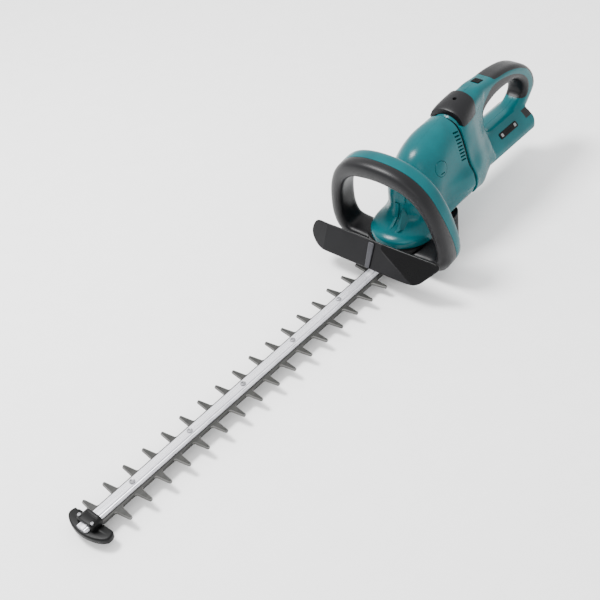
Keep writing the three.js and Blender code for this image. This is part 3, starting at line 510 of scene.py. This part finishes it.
def blade(node, body, z, sharp_low):
    """A toothed strip whose teeth are ground to an edge on one face, with a yoke at the rear."""
    thick, ground = 2.0, 1.25
    edge, top = (z, z + thick) if sharp_low else (z + thick, z)
    lip = edge + (0.35 if sharp_low else -0.35)
    rings = [[(x, y, h) for x, y in blade_outline(t)] for t, h in [(0, edge), (0, lip), (ground, top)]]
    obj = loft(node, rings)
    yoke = prism("yoke", oval(YOKE_X, 0, 35, 26.5, 64), "z", z, z + thick)
    window = prism("window", oval(YOKE_X, 0, 30.4, 22.2, 64), "z", z - 1, z + thick + 1)
    join(obj, yoke)
    outlines = [tablet((x, 0), SLOT_LENGTH, SLOT_RADIUS, SLOT_RADIUS) for x in SCREWS]
    slots = [prism("slot", outline, "z", z - 1, z + thick + 1) for outline in outlines]
    cut(obj, window, *slots)
    obj.name = node + "_look"
    place(obj, body, "blade_steel", [node], angle=20)
    obj.data.materials.append(LOOKS["ground_steel"])
    for face in obj.data.polygons:
        if 0.2 < abs(face.normal.z) < 0.97:
            face.material_index = 1


def cutter_bar():
    blade("upper_blade", "upper_blade", 0.15, True)
    blade("lower_blade", "lower_blade", -2.15, False)
    half = [(8.2, 2.5), (8.2, 4.3), (7.9, 4.6), (6.9, 4.6), (6.9, 6.6), (6.6, 6.9), (5.4, 6.9), (5.4, 6.0),
            (4.6, 6.0), (4.6, 7.7), (4.3, 8.0)]
    section = half + [(-y, z) for y, z in reversed(half)]
    bar = prism("bar", section, "x", -546, 31)
    plan = rounded([(31, -8.3, 4), (31, 8.3, 4), (-547, 8.3), (-547, -8.3)])
    common(bar, prism("plan", plan, "z", 0, 12))
    for x in SCREWS:
        cut(bar, rod("hole", (x, 0), 2.9, 0, 12))
        cut(bar, turned("sink", x, 0, [(4.3, 7.6), (4.5, 9)]))
    soften(bar, 0.25, 1)
    bar.name = "guide_bar_look"
    place(bar, "main_body", "bar_steel", ["guide_bar"])
    for n, x in enumerate(SCREWS):
        profile = [(0, -5.45), (4.3, -5.45), (4.6, -5.1), (4.6, -2.45), (2.6, -2.45), (2.6, 8.1),
                   (3.6, 8.1), (3.6, 9.3), (3.2, 9.9), (2.5, 10.2), (2.0, 10.1), (1.7, 9.1), (0, 9.1)]
        screw = turned("screw", x, 0, profile, 30)
        screw.name = f"bar_screw_{n + 1}_look"
        place(screw, "main_body", "screw_steel", [f"bar_screw_{n + 1}"])


def nose():
    rear, front, half, corner = 9, 34, 35, 7
    side = rear + corner + 3

    def bezier(points, steps=14):
        p = [np.array(q, float) for q in points]
        s = np.linspace(0, 1, steps, endpoint=False)[:, None]
        if len(p) == 3:
            return (1 - s) ** 2 * p[0] + 2 * s * (1 - s) * p[1] + s**2 * p[2]
        return (1 - s) ** 3 * p[0] + 3 * s * (1 - s) ** 2 * p[1] + 3 * s**2 * (1 - s) * p[2] + s**3 * p[3]

    plan = np.concatenate([
        bezier([(rear, corner - half), (rear, -half), (side, -half)], 8),
        bezier([(side, -half), (side + corner, -half), (front, -half / 2), (front, 0)]),
        bezier([(front, 0), (front, half / 2), (side + corner, half), (side, half)]),
        bezier([(side, half), (rear, half), (rear, half - corner)], 8),
        [(rear, half - corner)],
    ])
    guard = prism("nose", plan, "z", -7, 2.2, 2.4, 4)
    cut(guard, box((-FAR, 17), (-14, 14), (-2.8, FAR)))
    cut(guard, prism("tooth", [(-50, -36), (11.5, -36), (14, -12), (-50, -12)], "z", -2.8, 20))
    screw_x, screw_y = NOSE_SCREW
    holes = [rod("hole", (screw_x, s * screw_y), 1.5, -FAR, FAR) for s in (-1, 1)]
    cut(guard, *holes, keep=True)
    soften(guard, 0.35, 2)
    guard.name = "nose_guard_look"
    place(guard, "main_body", "nose_black", ["nose_guard"])

    hood = rounded([(-14, 2.5), (-14, 10, 3), (-9.5, 13, 2.5), (9.5, 13, 2.5), (14, 10, 3), (14, 2.5)], 5)
    clamp = prism("clamp", hood, "x", 8, 25, 1.2, 3)
    cut(clamp, box((-FAR, FAR), (-BAR_HALF, BAR_HALF), (-FAR, BAR_TOP)), *holes)
    for s in (-1, 1):
        cut(clamp, rod("seat", (screw_x, s * screw_y), 2.6, 12.4, 20))
    cut(clamp, box((12, 14), (-FAR, FAR), (12.2, 20)))
    soften(clamp, 0.3, 2)
    clamp.name = "nose_clamp_look"
    place(clamp, "main_body", "nose_black", ["nose_clamp"])
    for s, name in ((-1, "nose_screw_right"), (1, "nose_screw_left")):
        profile = [(0, 1.3), (1.2, 1.3), (1.2, 13.3), (2.2, 13.3), (2.2, 13.8), (1.5, 14.4),
                   (1.1, 14.4), (1.0, 13.7), (0, 13.7)]
        screw = turned("screw", screw_x, s * screw_y, profile, 24)
        screw.name = name + "_look"
        place(screw, "main_body", "screw_steel", [name])


def leaned(obj, degrees, foot, low):
    """Tips a piece drawn upright in the (Y, Z) plane forwards about its foot."""
    tip = Matrix.Rotation(math.radians(degrees), 4, "Y")
    return turn(obj, Matrix.Translation((foot, 0, low)) @ tip @ Matrix.Translation((0, 0, -low)))


def hand_guard():
    tall = (GUARD_HIGH - GUARD_LOW) / math.cos(math.radians(GUARD_LEAN))

    def up(share):
        return GUARD_LOW + tall * share

    plan = rounded([(-90, up(0), 14), (-110.4, up(0.45), 14), (-104, up(0.95), 9), (-20, up(1), 6),
                    (106, up(1), 8), (110, up(0.85), 8), (82, up(0.05), 12), (60, up(0), 6)], 7)
    plate = prism("plate", plan, "x", -2.7, -0.4, 0.7, 2)
    rim = prism("rim", plan, "x", -3.6, 0.0, 1.5, 3)
    cut(rim, prism("inner", inset(plan, 4.0), "x", -9, 9))
    join(plate, rim)
    remesh(plate, 0.75, 2)

    def beyond(y, z):
        return ((y - 18) * 27 + (z - 51) * 52) / 58.6

    def crease(co):
        past = beyond(co[:, 1], co[:, 2])
        bend = 0.12 * np.clip(past, 0, 40) * ramp(co[:, 1], 10, 30)
        ridge = 0.5 * np.exp(-((past / 0.9) ** 2)) * ramp(co[:, 1], 14, 24)
        co[:, 0] += ridge - bend - 0.12 * np.clip(-co[:, 1] - 80, 0, None)
        return co

    shift(plate, crease)
    # Faces past the crease are marked to take the darker copy of the guard's material: painted shade standing
    # for the dark reflection on that part of the guard.
    shade = [beyond(f.center.y, f.center.z) > 0 and f.center.y > 16 for f in plate.data.polygons]
    plate.data.attributes.new("beyond", "INT", "FACE").data.foreach_set("value", [int(v) for v in shade])
    leaned(plate, GUARD_LEAN, GUARD_FOOT, GUARD_LOW)
    cut(plate, box((-FAR * 3, FAR), (-BAR_HALF, BAR_HALF), (-FAR, BAR_TOP)))
    plate.name = "hand_guard_look"
    place(plate, "main_body", "smoke_guard", ["hand_guard"], angle=60)
    # The second material is painted shade, a darker copy of the same smoked plastic.
    plate.data.materials.append(LOOKS["smoke_painted_reflection"])
    shade = plate.data.attributes["beyond"]
    plate.data.polygons.foreach_set("material_index", [d.value for d in shade.data])
    plate.data.attributes.remove(shade)

    low, high = up(0.04), up(0.93)
    outline = rounded([(-3.6, low, 1.5), (3.6, low, 1.5), (4.8, high, 2.4), (-4.8, high, 2.4)], 5)
    rib = prism("rib", outline, "x", 0.3, 2.4, 0.8, 3)
    leaned(rib, GUARD_LEAN, GUARD_FOOT, GUARD_LOW)
    rib.name = "guard_rib_look"
    place(rib, "main_body", "rib_steel", ["guard_rib"])


# ---------------------------------------------------------------- front loop handle


def loop_curve(half, steps=8):
    full = half + [(-y, z) for y, z in reversed(half[1:-1])]
    return centripetal(full, steps)


def loop_hole(grow):
    scale = 1 + grow / (LOOP_HOLE[0][1] - LOOP_MIDDLE)
    return loop_curve([(y * scale, LOOP_MIDDLE + (z - LOOP_MIDDLE) * scale) for y, z in LOOP_HOLE])


def loop_solid():
    """The loop's tube: a rounded section between the outer curve and the hole."""
    outer, hole = loop_curve(LOOP_OUTER), loop_hole(0)
    rings = []
    for o, h in zip(outer, hole):
        width = np.linalg.norm(o - h)
        radius = min(11.0, width / 2 - 0.4)
        corners = rounded([(0, -LOOP_DEPTH, radius), (width, -LOOP_DEPTH, radius * 1.1),
                           (width, 0, radius * 1.1), (0, 0, radius)], 7)
        along = (o - h) / width
        rings.append([(x, *(h + along * s)) for s, x in corners])
    return loft("loop", rings, ends=False)


def case_plan(by):
    """The gear case from above, moved inwards by a distance."""
    front, rear, half = -550 - by, -680 + by, 45 - by
    return rounded([(front, -half, 32), (front, half, 32), (rear, half, 28), (rear, -half, 28)], 14)


def lever_arc(outer, inner, reach, grow):
    band = prism("band", loop_hole(outer), "x", -37 - grow, -29 + grow, 0 if grow else 1.0)
    cut(band, prism("inner", loop_hole(inner), "x", -60, 10, 0))
    return common(band, box((-60, 10), (-reach, reach), (LOOP_MIDDLE, FAR)))


def front_handle(housing_outer):
    case = prism("case", case_plan(-GAP), "z", BASE_LOW - 1, CASE_HIGH + 1)

    def core_space(gap):
        front = LOOP_GRIP - gap
        side = [(-FAR, -FAR), (-front, -FAR), (-front, 20), (7 - front, 110), (7 - front, FAR), (-FAR, FAR)]
        return cut(prism("rear", side, "y", -FAR, FAR),
                   prism("lining", loop_hole(8 - gap), "x", -2 * FAR, FAR))

    groove = lever_arc(13, -1, 53.5, GAP)
    core = cut(common(loop_solid(), core_space(0)), groove, keep=True)
    grip = cut(loop_solid(), core_space(0.6), groove)
    parts = ((grip, "front_handle_grip", "rubber"), (core, "front_handle_core", "teal_shell"))
    for part, node, slot in parts:
        leaned(part, LOOP_LEAN, LOOP_FOOT, LOOP_LOW)
        cut(part, housing_outer, case, keep=True)
        soften(part, 0.5, 2)
        part.name = node + "_look"
        place(part, "main_body", slot, [node])
    drop(case)
    lever = lever_arc(8, -6, 52, 0)
    leaned(soften(lever, 0.8, 2), LOOP_LEAN, LOOP_FOOT, LOOP_LOW)
    lever.name = "front_lever_look"
    place(lever, "front_lever", "black_plastic", ["front_lever"])


# ---------------------------------------------------------------- motor housing


def housing_solid(name, levels, size=2.0, sides=192):
    """A smooth skin through the levels; its front is rounded and its back is flat."""
    table = np.array(levels, float)
    heights = np.linspace(table[0, 0], table[-1, 0], int((table[-1, 0] - table[0, 0]) / size) + 1)
    values = easy(table[:, 0], table[:, 1:], heights)
    rings = []
    for z, (front, back, middle, end) in zip(heights, values):
        radius = min(45, (front - back) * 0.6)
        ring = []
        for k in range(sides):
            angle = (k + 0.5) / sides * 2 * math.pi - math.pi
            share = abs(angle) / math.pi
            if share <= 0.42:
                a = share / 0.42 * math.pi / 2
                x, y = front - radius * (1 - math.cos(a)), middle * math.sin(a)
            elif share <= 0.83:
                along = (share - 0.42) / 0.41
                x = front - radius + (back - front + radius) * along
                y = middle + (end - middle) * (along * along * (3 - 2 * along))
            else:
                x, y = back, end * (1 - share) / 0.17
            ring.append((x, math.copysign(y, angle), z))
        rings.append(ring)
    return loft(name, rings)


def hull(name, points):
    """The tight skin round some points."""
    mesh = bpy.data.meshes.new(name)
    mesh.from_pydata(points, [], [])
    bm = bmesh.new()
    bm.from_mesh(mesh)
    made = bmesh.ops.convex_hull(bm, input=bm.verts[:])
    bmesh.ops.delete(bm, geom=made["geom_interior"] + made["geom_unused"], context="VERTS")
    bmesh.ops.recalc_face_normals(bm, faces=bm.faces[:])
    bm.to_mesh(mesh)
    bm.free()
    obj = bpy.data.objects.new(name, mesh)
    bpy.context.scene.collection.objects.link(obj)
    return obj


def column_relief(outer):
    """The raised panel, rib and gusset on the front of the housing, behind the loop."""
    panel = [(-600, 81.5), (-585.2, 81.5), (-588.0, 95), (-601, 121), (-612, 121)]
    rib = [(-595, 80), (-584.6, 80), (-583.2, 66), (-580.8, 58), (-568.8, 50), (-560, 46.4), (-575, 40),
           (-595, 55)]
    gusset = [(-590, 6, 77), (-597, 0, 60), (-565, 14.5, 50.5), (-563, 9, 46), (-575, 1, 46), (-592, 22, 46)]
    join(outer, prism("panel", panel, "y", -7, 10, 1.2), prism("rib", rib, "y", -7, 0.5, 1.0))
    return join(outer, hull("gusset", gusset))


def housing(outer):
    inner_levels = [(z - 3, f - 4.5, max(b + 3, -694), m - 3.6, e - 3.6) for z, f, b, m, e in HOUSING[:11]]
    inner = housing_solid("inner", inner_levels, 4.0, 96)
    body = twin(outer, "housing")
    cut(body, inner, rod("bore", (0, SWIVEL_Z), SWIVEL_BORE, -704, -690, "x", 64))
    for side in (-1, 1):
        low, high = sorted((side * 29.7, side * FAR))
        cut(body, rod("seat", (MOTOR_X, BRUSH_Z), 11.3, low, high, "y", 48))
        for n in range(9):
            z = 104 + 5.0 * n
            outline = rounded([(-695.5, z - 0.2, 0.8), (-684.5, z + 1.8, 0.8), (-684.5, z + 4.2, 0.8),
                               (-695.5, z + 2.2, 0.8)], 3)
            cut(body, prism("slit", outline, "y", *sorted((side * 22, side * 70))))
    for x, z, seat in ((-603, 62, 27), (-684, 50, 37), (-684, 138, 22)):
        cut(body, rod("bore", (x, z), SCREW_BORE, -FAR, -seat, "y"))
    halves = {"left": (0.06, FAR), "right": (-FAR, -0.06)}
    for side, reach in halves.items():
        half = common(twin(body), box((-3 * FAR, FAR), reach, (-FAR, FAR)))
        soften(half, 0.25, 1, 50)
        half.name = f"housing_{side}_look"
        place(half, "main_body", "teal_shell", [f"housing_{side}"])
    drop(body)
    for side, name in ((1, "left"), (-1, "right")):
        low, high = sorted((side * 30, side * FAR))
        cap = common(twin(outer, "cap"), rod("cap", (MOTOR_X, BRUSH_Z), 10.6, low, high, "y", 48))
        low, high = sorted((side * 35.6, side * FAR))
        cut(cap, box((MOTOR_X - 4, MOTOR_X + 4), (low, high), (BRUSH_Z - 7.6, BRUSH_Z - 5.8)))
        soften(cap, 0.5, 2, 45)
        cap.name = f"brush_cap_{name}_look"
        place(cap, "main_body", "teal_shell", [f"brush_cap_{name}"])


def gear_case():
    case = prism("case", case_plan(0), "z", CASE_LOW, CASE_HIGH)
    cut(case, prism("inside", case_plan(4), "z", CASE_LOW - 1, CASE_HIGH - 4))
    cut(case, box((-557, FAR), (-38, 38), (-4.5, 9)))
    cut(case, rod("shaft", (MOTOR_X, 0), 12.8, -FAR, FAR))
    for level in (-3, 3.2, 16, 22.5):
        band = prism("band", inset(case_plan(0), -2), "z", level, level + 1.0)
        cut(case, cut(band, prism("keep", case_plan(0.7), "z", level - 1, level + 2)))
    soften(case, 0.5, 2)
    case.name = "gear_case_look"
    place(case, "main_body", "black_plastic", ["gear_case"])
    base = prism("base", case_plan(0), "z", BASE_LOW, BASE_HIGH, 1.0, 3)
    seat = rod("seat", (-600, 0), 15, BASE_LOW + 1, -5)
    cut(seat, rod("pocket", (-600, 0), 11.3, -12, 0))
    join(base, seat)
    base.name = "base_plate_look"
    place(base, "main_body", "black_plastic", ["base_plate"])


# ---------------------------------------------------------------- rear handle


def neck_ring(values, size=1.0, sides=96):
    """One ring of the neck from a row of NECK, drawn smaller or larger about the swivel's axis."""
    x, top, *rest = values
    low = rest.pop()
    knots = [(0, top)] + [(rest[i], rest[i + 1]) for i in range(0, len(rest), 2)] + [(0, low)]
    knots += [(-y, z) for y, z in reversed(knots[1:-1])]
    curve = centripetal(knots, sides // len(knots) or 1)
    return [(x, y * size, SWIVEL_Z + (z - SWIVEL_Z) * size) for y, z in curve]


def neck_solid(table, step=2.5):
    rows = np.array([[-r[0], *r[1:]] for r in table], float)
    at = np.linspace(rows[0, 0], rows[-1, 0], int((rows[-1, 0] - rows[0, 0]) / step) + 1)
    values = easy(rows[:, 0], rows[:, 1:], at)
    return loft("neck", [neck_ring([-x, *v]) for x, v in zip(at, values)])


def pulled_in(top, side, foot):
    """NECK with its top, sides and foot moved inwards."""
    table = []
    for x, high, *rest in NECK:
        low = rest.pop()
        pairs = []
        for i, v in enumerate(rest):
            by = side if i % 2 == 0 else top + (-foot - top) * i / len(rest)
            pairs.append(v - by)
        table.append((x, high - top, *pairs, low + foot))
    return table


def handle_whole():
    bar = prism("bar", centripetal(GRIP_OUTER, 8), "y", -17.5, 17.5, 9, 5)
    cut(bar, prism("hole", centripetal(GRIP_HOLE, 8), "y", -17.6, 17.6, -9, 5))
    pad_section = rounded(PAD + [(-y, z, r) for y, z, r in reversed(PAD)], 4)
    pad = prism("pad", pad_section, "x", PAD_REAR, PAD_FRONT, 2.5, 3)
    front = PAD_FRONT + 3
    plan = rounded([(front, -39), (front, 39), (PAD_REAR, 38.5, 16), (PAD_REAR, -38.5, 16)], 8)
    side = [(front, 0), (front, 120), (PAD_REAR + 13, 120), (PAD_REAR, 52), (PAD_REAR, 0)]
    common(pad, prism("plan", plan, "z", 0, FAR))
    common(pad, prism("side", side, "y", -FAR, FAR))
    neck = neck_solid(NECK)
    return remesh(join(bar, pad, neck), 1.5, 18)


def on_panel(obj):
    tip = Matrix.Rotation(math.radians(PANEL["tilt"] - 90), 4, "X")
    return turn(obj, Matrix.Translation((PANEL["x"], PANEL["y"], PANEL["z"])) @ tip)


def panel_plate(grow, depth, top, bevel=0.0):
    outline = tablet((0, 0), 23 + grow, 4.5 + grow, 2.5, 5)
    return prism("panel", outline, "z", -depth, top, bevel)


def rear_handle():
    whole = handle_whole()
    inner = pulled_in(9, 3, 3)
    inner[0] = (inner[0][0] - 3, *inner[0][1:])
    cavity = neck_solid(inner, 5)
    cavity_section = [*PAD_CAVITY, *[(-y, z) for y, z in reversed(PAD_CAVITY)]]
    pad_cavity = prism("cavity", cavity_section, "x", PAD_REAR + 4, PAD_FRONT - 8)
    body = cut(twin(whole, "handle"), cavity, pad_cavity)

    # the swivel lever's saddle
    raised = pulled_in(4, 4, 0)
    core = neck_solid(raised)
    clear = neck_solid(pulled_in(4.3, 5.1, 0))
    outline = rounded([(LEVER_FRONT, LEVER_LOW, 2), (LEVER_REAR, LEVER_LOW, 3), (LEVER_REAR, 200),
                       (LEVER_FRONT, 200)])
    region = prism("region", outline, "y", -FAR, FAR)
    front, rear, low = COLLAR_REAR + 1, LEVER_REAR - GAP, LEVER_LOW - GAP
    space = prism("space", [(front, low), (rear, low), (rear, 200), (front, 200)], "y", -FAR, FAR)
    lever = neck_solid(NECK)
    lifted = turn(neck_solid(NECK), Matrix.Translation((0, 0, LEVER_PROUD)))
    join(lever, lifted)
    cut(common(lever, region), core)
    cut(lever, prism("slope", [(-720, 172.6), (-690, 159.5), (-690, 200), (-720, 200)], "y", -FAR, FAR))
    cut(lever, rod("hole", (-728, 0), 3.0, 168, 200))
    soften(lever, 0.9, 3, 40)
    lever.name = "swivel_lever_look"
    place(lever, "swivel_lever", "rubber", ["swivel_lever"])
    cut(body, cut(space, clear))

    # rubber over the outside of the grip and inside its hole
    outer_region = prism("outer", rounded([(x, z, 6) for x, z in OUTER_GRIP_EDGE], 4), "y", -FAR, FAR)
    inner_region = prism("inner", rounded([(x, z, 6) for x, z in INNER_GRIP_EDGE], 4), "y", -FAR, FAR)
    slot = box((-859, -799), (-6.3, 6.3), (110, 160))
    well = box((-790.8, -777.2), (-6.8, 6.8), (153, FAR))
    grip_outer = cut(common(twin(whole), outer_region, keep=True), slot, well, keep=True)
    grip_inner = cut(common(twin(whole), inner_region, keep=True), slot, well, keep=True)
    for obj, node in ((grip_outer, "grip_outer"), (grip_inner, "grip_inner")):
        soften(obj, 0.6, 2, 45)
        obj.name = node + "_look"
        place(obj, "rear_handle", "rubber", [node])
    cut(body, outer_region, inner_region, slot)

    # rubber corners at the rear of the pad
    for side, name in ((1, "left"), (-1, "right")):
        reach = (20, FAR) if side > 0 else (-FAR, -20)
        corner = box((-3 * FAR, -870), reach, (74, 84.5))
        thin = turn(twin(whole, "thin"), Matrix.Translation((3, 0, -3)))
        patch = cut(common(twin(whole), corner, keep=True), thin, keep=True)
        soften(patch, 0.5, 2, 45)
        patch.name = f"rear_bumper_{name}_look"
        place(patch, "rear_handle", "rubber", [f"rear_bumper_{name}"])
        cut(body, cut(corner, thin))

    # battery bay, control panel, lock-off button
    cut(body, box((-3 * FAR, -775), (-27, 27), (57, 67)), box((-3 * FAR, -775), (-22, 22), (0, 58)))
    cut(body, on_panel(panel_plate(GAP, 3.3, 20)), well)
    cut(body, rod("bore", (0, SWIVEL_Z), SWIVEL_BORE, -712, -700, "x", 64))
    for x, z, seat in ((-718, 48, 36), (-772, 152, 10)):
        cut(body, rod("bore", (x, z), SCREW_BORE, -FAR, -seat, "y"))
    for side, reach in (("left", (0.15, FAR)), ("right", (-FAR, -0.15))):
        half = common(twin(body), box((-3 * FAR, FAR), reach, (-FAR, FAR)))
        soften(half, 0.4, 2, 45)
        half.name = f"handle_{side}_look"
        place(half, "rear_handle", "teal_shell", [f"handle_{side}"])
    drop(body)

    plate = panel_plate(0, 3, 0.5, 0.4)
    for side in (-1, 1):
        opening = tablet((side * KEY_AT, 0), KEY_HALF + GAP, KEY_HALF + GAP, KEY_CORNER)
        cut(plate, prism("key", opening, "z", -2, 3))
    for n in range(3):
        cut(plate, rod("lamp", (-5 + 5 * n, 0), 0.9, 0.1, 3, count=16))
    plate.name = "control_panel_look"
    place(on_panel(plate), "rear_handle", "black_plastic", ["control_panel"])
    for side, name in ((1, "front"), (-1, "rear")):
        outline = tablet((side * KEY_AT, 0), KEY_HALF, KEY_HALF, KEY_CORNER)
        key = prism("key", outline, "z", -0.9, 1.0, 0.4)
        key.name = f"panel_button_{name}_look"
        place(on_panel(key), f"panel_button_{name}", "grey_plastic", [f"panel_button_{name}"])

    above = turn(twin(whole), Matrix.Translation((0, 0, 1.0)))
    button = common(box((-790.5, -777.5), (-6.5, 6.5), (158, FAR)), above)
    for n in range(4):
        cut(button, box((-788.6 + 3 * n, -787.6 + 3 * n), (-9, 9), (172.2, 200)))
    soften(button, 0.4, 2, 45)
    button.name = "lock_off_button_look"
    place(button, "lock_off_button", "black_plastic", ["lock_off_button"])
    drop(whole)

    side = [(-800, 142, 3), (-800, 149, 3), (-858, 149, 3), (-858, 140, 3), (-846, 134.5, 6), (-825, 135, 6)]
    trigger = prism("trigger", rounded(side, 6), "y", -6, 6, 2.2, 4)
    trigger.name = "trigger_look"
    place(trigger, "trigger", "black_plastic", ["trigger"])


def swivel_collar():
    ring = neck_ring(NECK[0], 0.93)
    points = [(y, z) for _, y, z in ring]
    collar = prism("collar", points, "x", COLLAR_REAR, COLLAR_FRONT, 0.6, 2)
    cut(collar, rod("bore", (0, SWIVEL_Z), SWIVEL_BORE, -720, -690, "x", 64))
    for x in (-701.2, -699.2):
        band = prism("band", inset(points, -3), "x", x - 0.4, x + 0.4)
        cut(collar, cut(band, prism("keep", inset(points, 0.8), "x", x - 2, x + 2)))
    collar.name = "swivel_collar_look"
    place(collar, "main_body", "swivel_plastic", ["swivel_collar"])


# ---------------------------------------------------------------- assembly

cutter_bar()
nose()
hand_guard()
outer = column_relief(housing_solid("outer", HOUSING))
front_handle(outer)
housing(outer)
drop(outer)
gear_case()
swivel_collar()
rear_handle()

replaced = {n for o in bpy.data.objects if "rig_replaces" in o for n in o["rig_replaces"]}
slots = {s["node"]: s["material_slot"] for s in frame["record"]["subparts"]}
for node, obj in frame["nodes"].items():
    if node in replaced:
        continue
    obj.data.materials.clear()
    obj.data.materials.append(LOOKS[slots[node]])

# ---------------------------------------------------------------- floor, light, camera

floor_mesh = bpy.data.meshes.new("floor")
FLOOR_HALF, FLOOR_Z = 4, -0.0005
corners = [(x, y, FLOOR_Z) for x, y in ((-FLOOR_HALF, -FLOOR_HALF), (FLOOR_HALF, -FLOOR_HALF),
                                        (FLOOR_HALF, FLOOR_HALF), (-FLOOR_HALF, FLOOR_HALF))]
floor_mesh.from_pydata(corners, [], [(0, 1, 2, 3)])
floor = bpy.data.objects.new("floor", floor_mesh)
bpy.context.scene.collection.objects.link(floor)
floor_mesh.materials.append(material("paper", (0.90, 0.90, 0.90), (0.92, 0.92, 0.92), 0.9, 0, 300, 0.0))

world = bpy.data.worlds.new("studio")
bpy.context.scene.world = world
world.use_nodes = True
world.node_tree.nodes["Background"].inputs["Color"].default_value = (1, 1, 1, 1)
world.node_tree.nodes["Background"].inputs["Strength"].default_value = 1.75


def lamp(name, where, target, size, power):
    light = bpy.data.lights.new(name, "AREA")
    light.shape, light.size, light.energy = "DISK", size, power
    obj = bpy.data.objects.new(name, light)
    obj.location = where
    obj.rotation_euler = (Vector(target) - Vector(where)).to_track_quat("-Z", "Y").to_euler()
    bpy.context.scene.collection.objects.link(obj)


lamp("key", (0.5, -0.9, 2.0), (-0.1, 0, 0.1), 0.7, 90)
lamp("fill", (1.8, 1.2, 1.6), (0, 0, 0.1), 1.5, 14)

RIGHT = (-0.64334, 0.75618, -0.11961)
DOWN = (0.55110, 0.34897, -0.75796)
AHEAD = (-0.53141, -0.55354, -0.64124)
camera = bpy.data.cameras.new("camera")
camera.lens, camera.sensor_width = 65.945, 36
view = bpy.data.objects.new("camera", camera)
axes = Matrix((RIGHT, [-c for c in DOWN], [-c for c in AHEAD])).transposed().to_4x4()
view.matrix_world = Matrix.Translation((0.83492, 0.79221, 0.99366)) @ axes
camera.clip_start, camera.clip_end = 0.05, 30
bpy.context.scene.collection.objects.link(view)
bpy.context.scene.camera = view
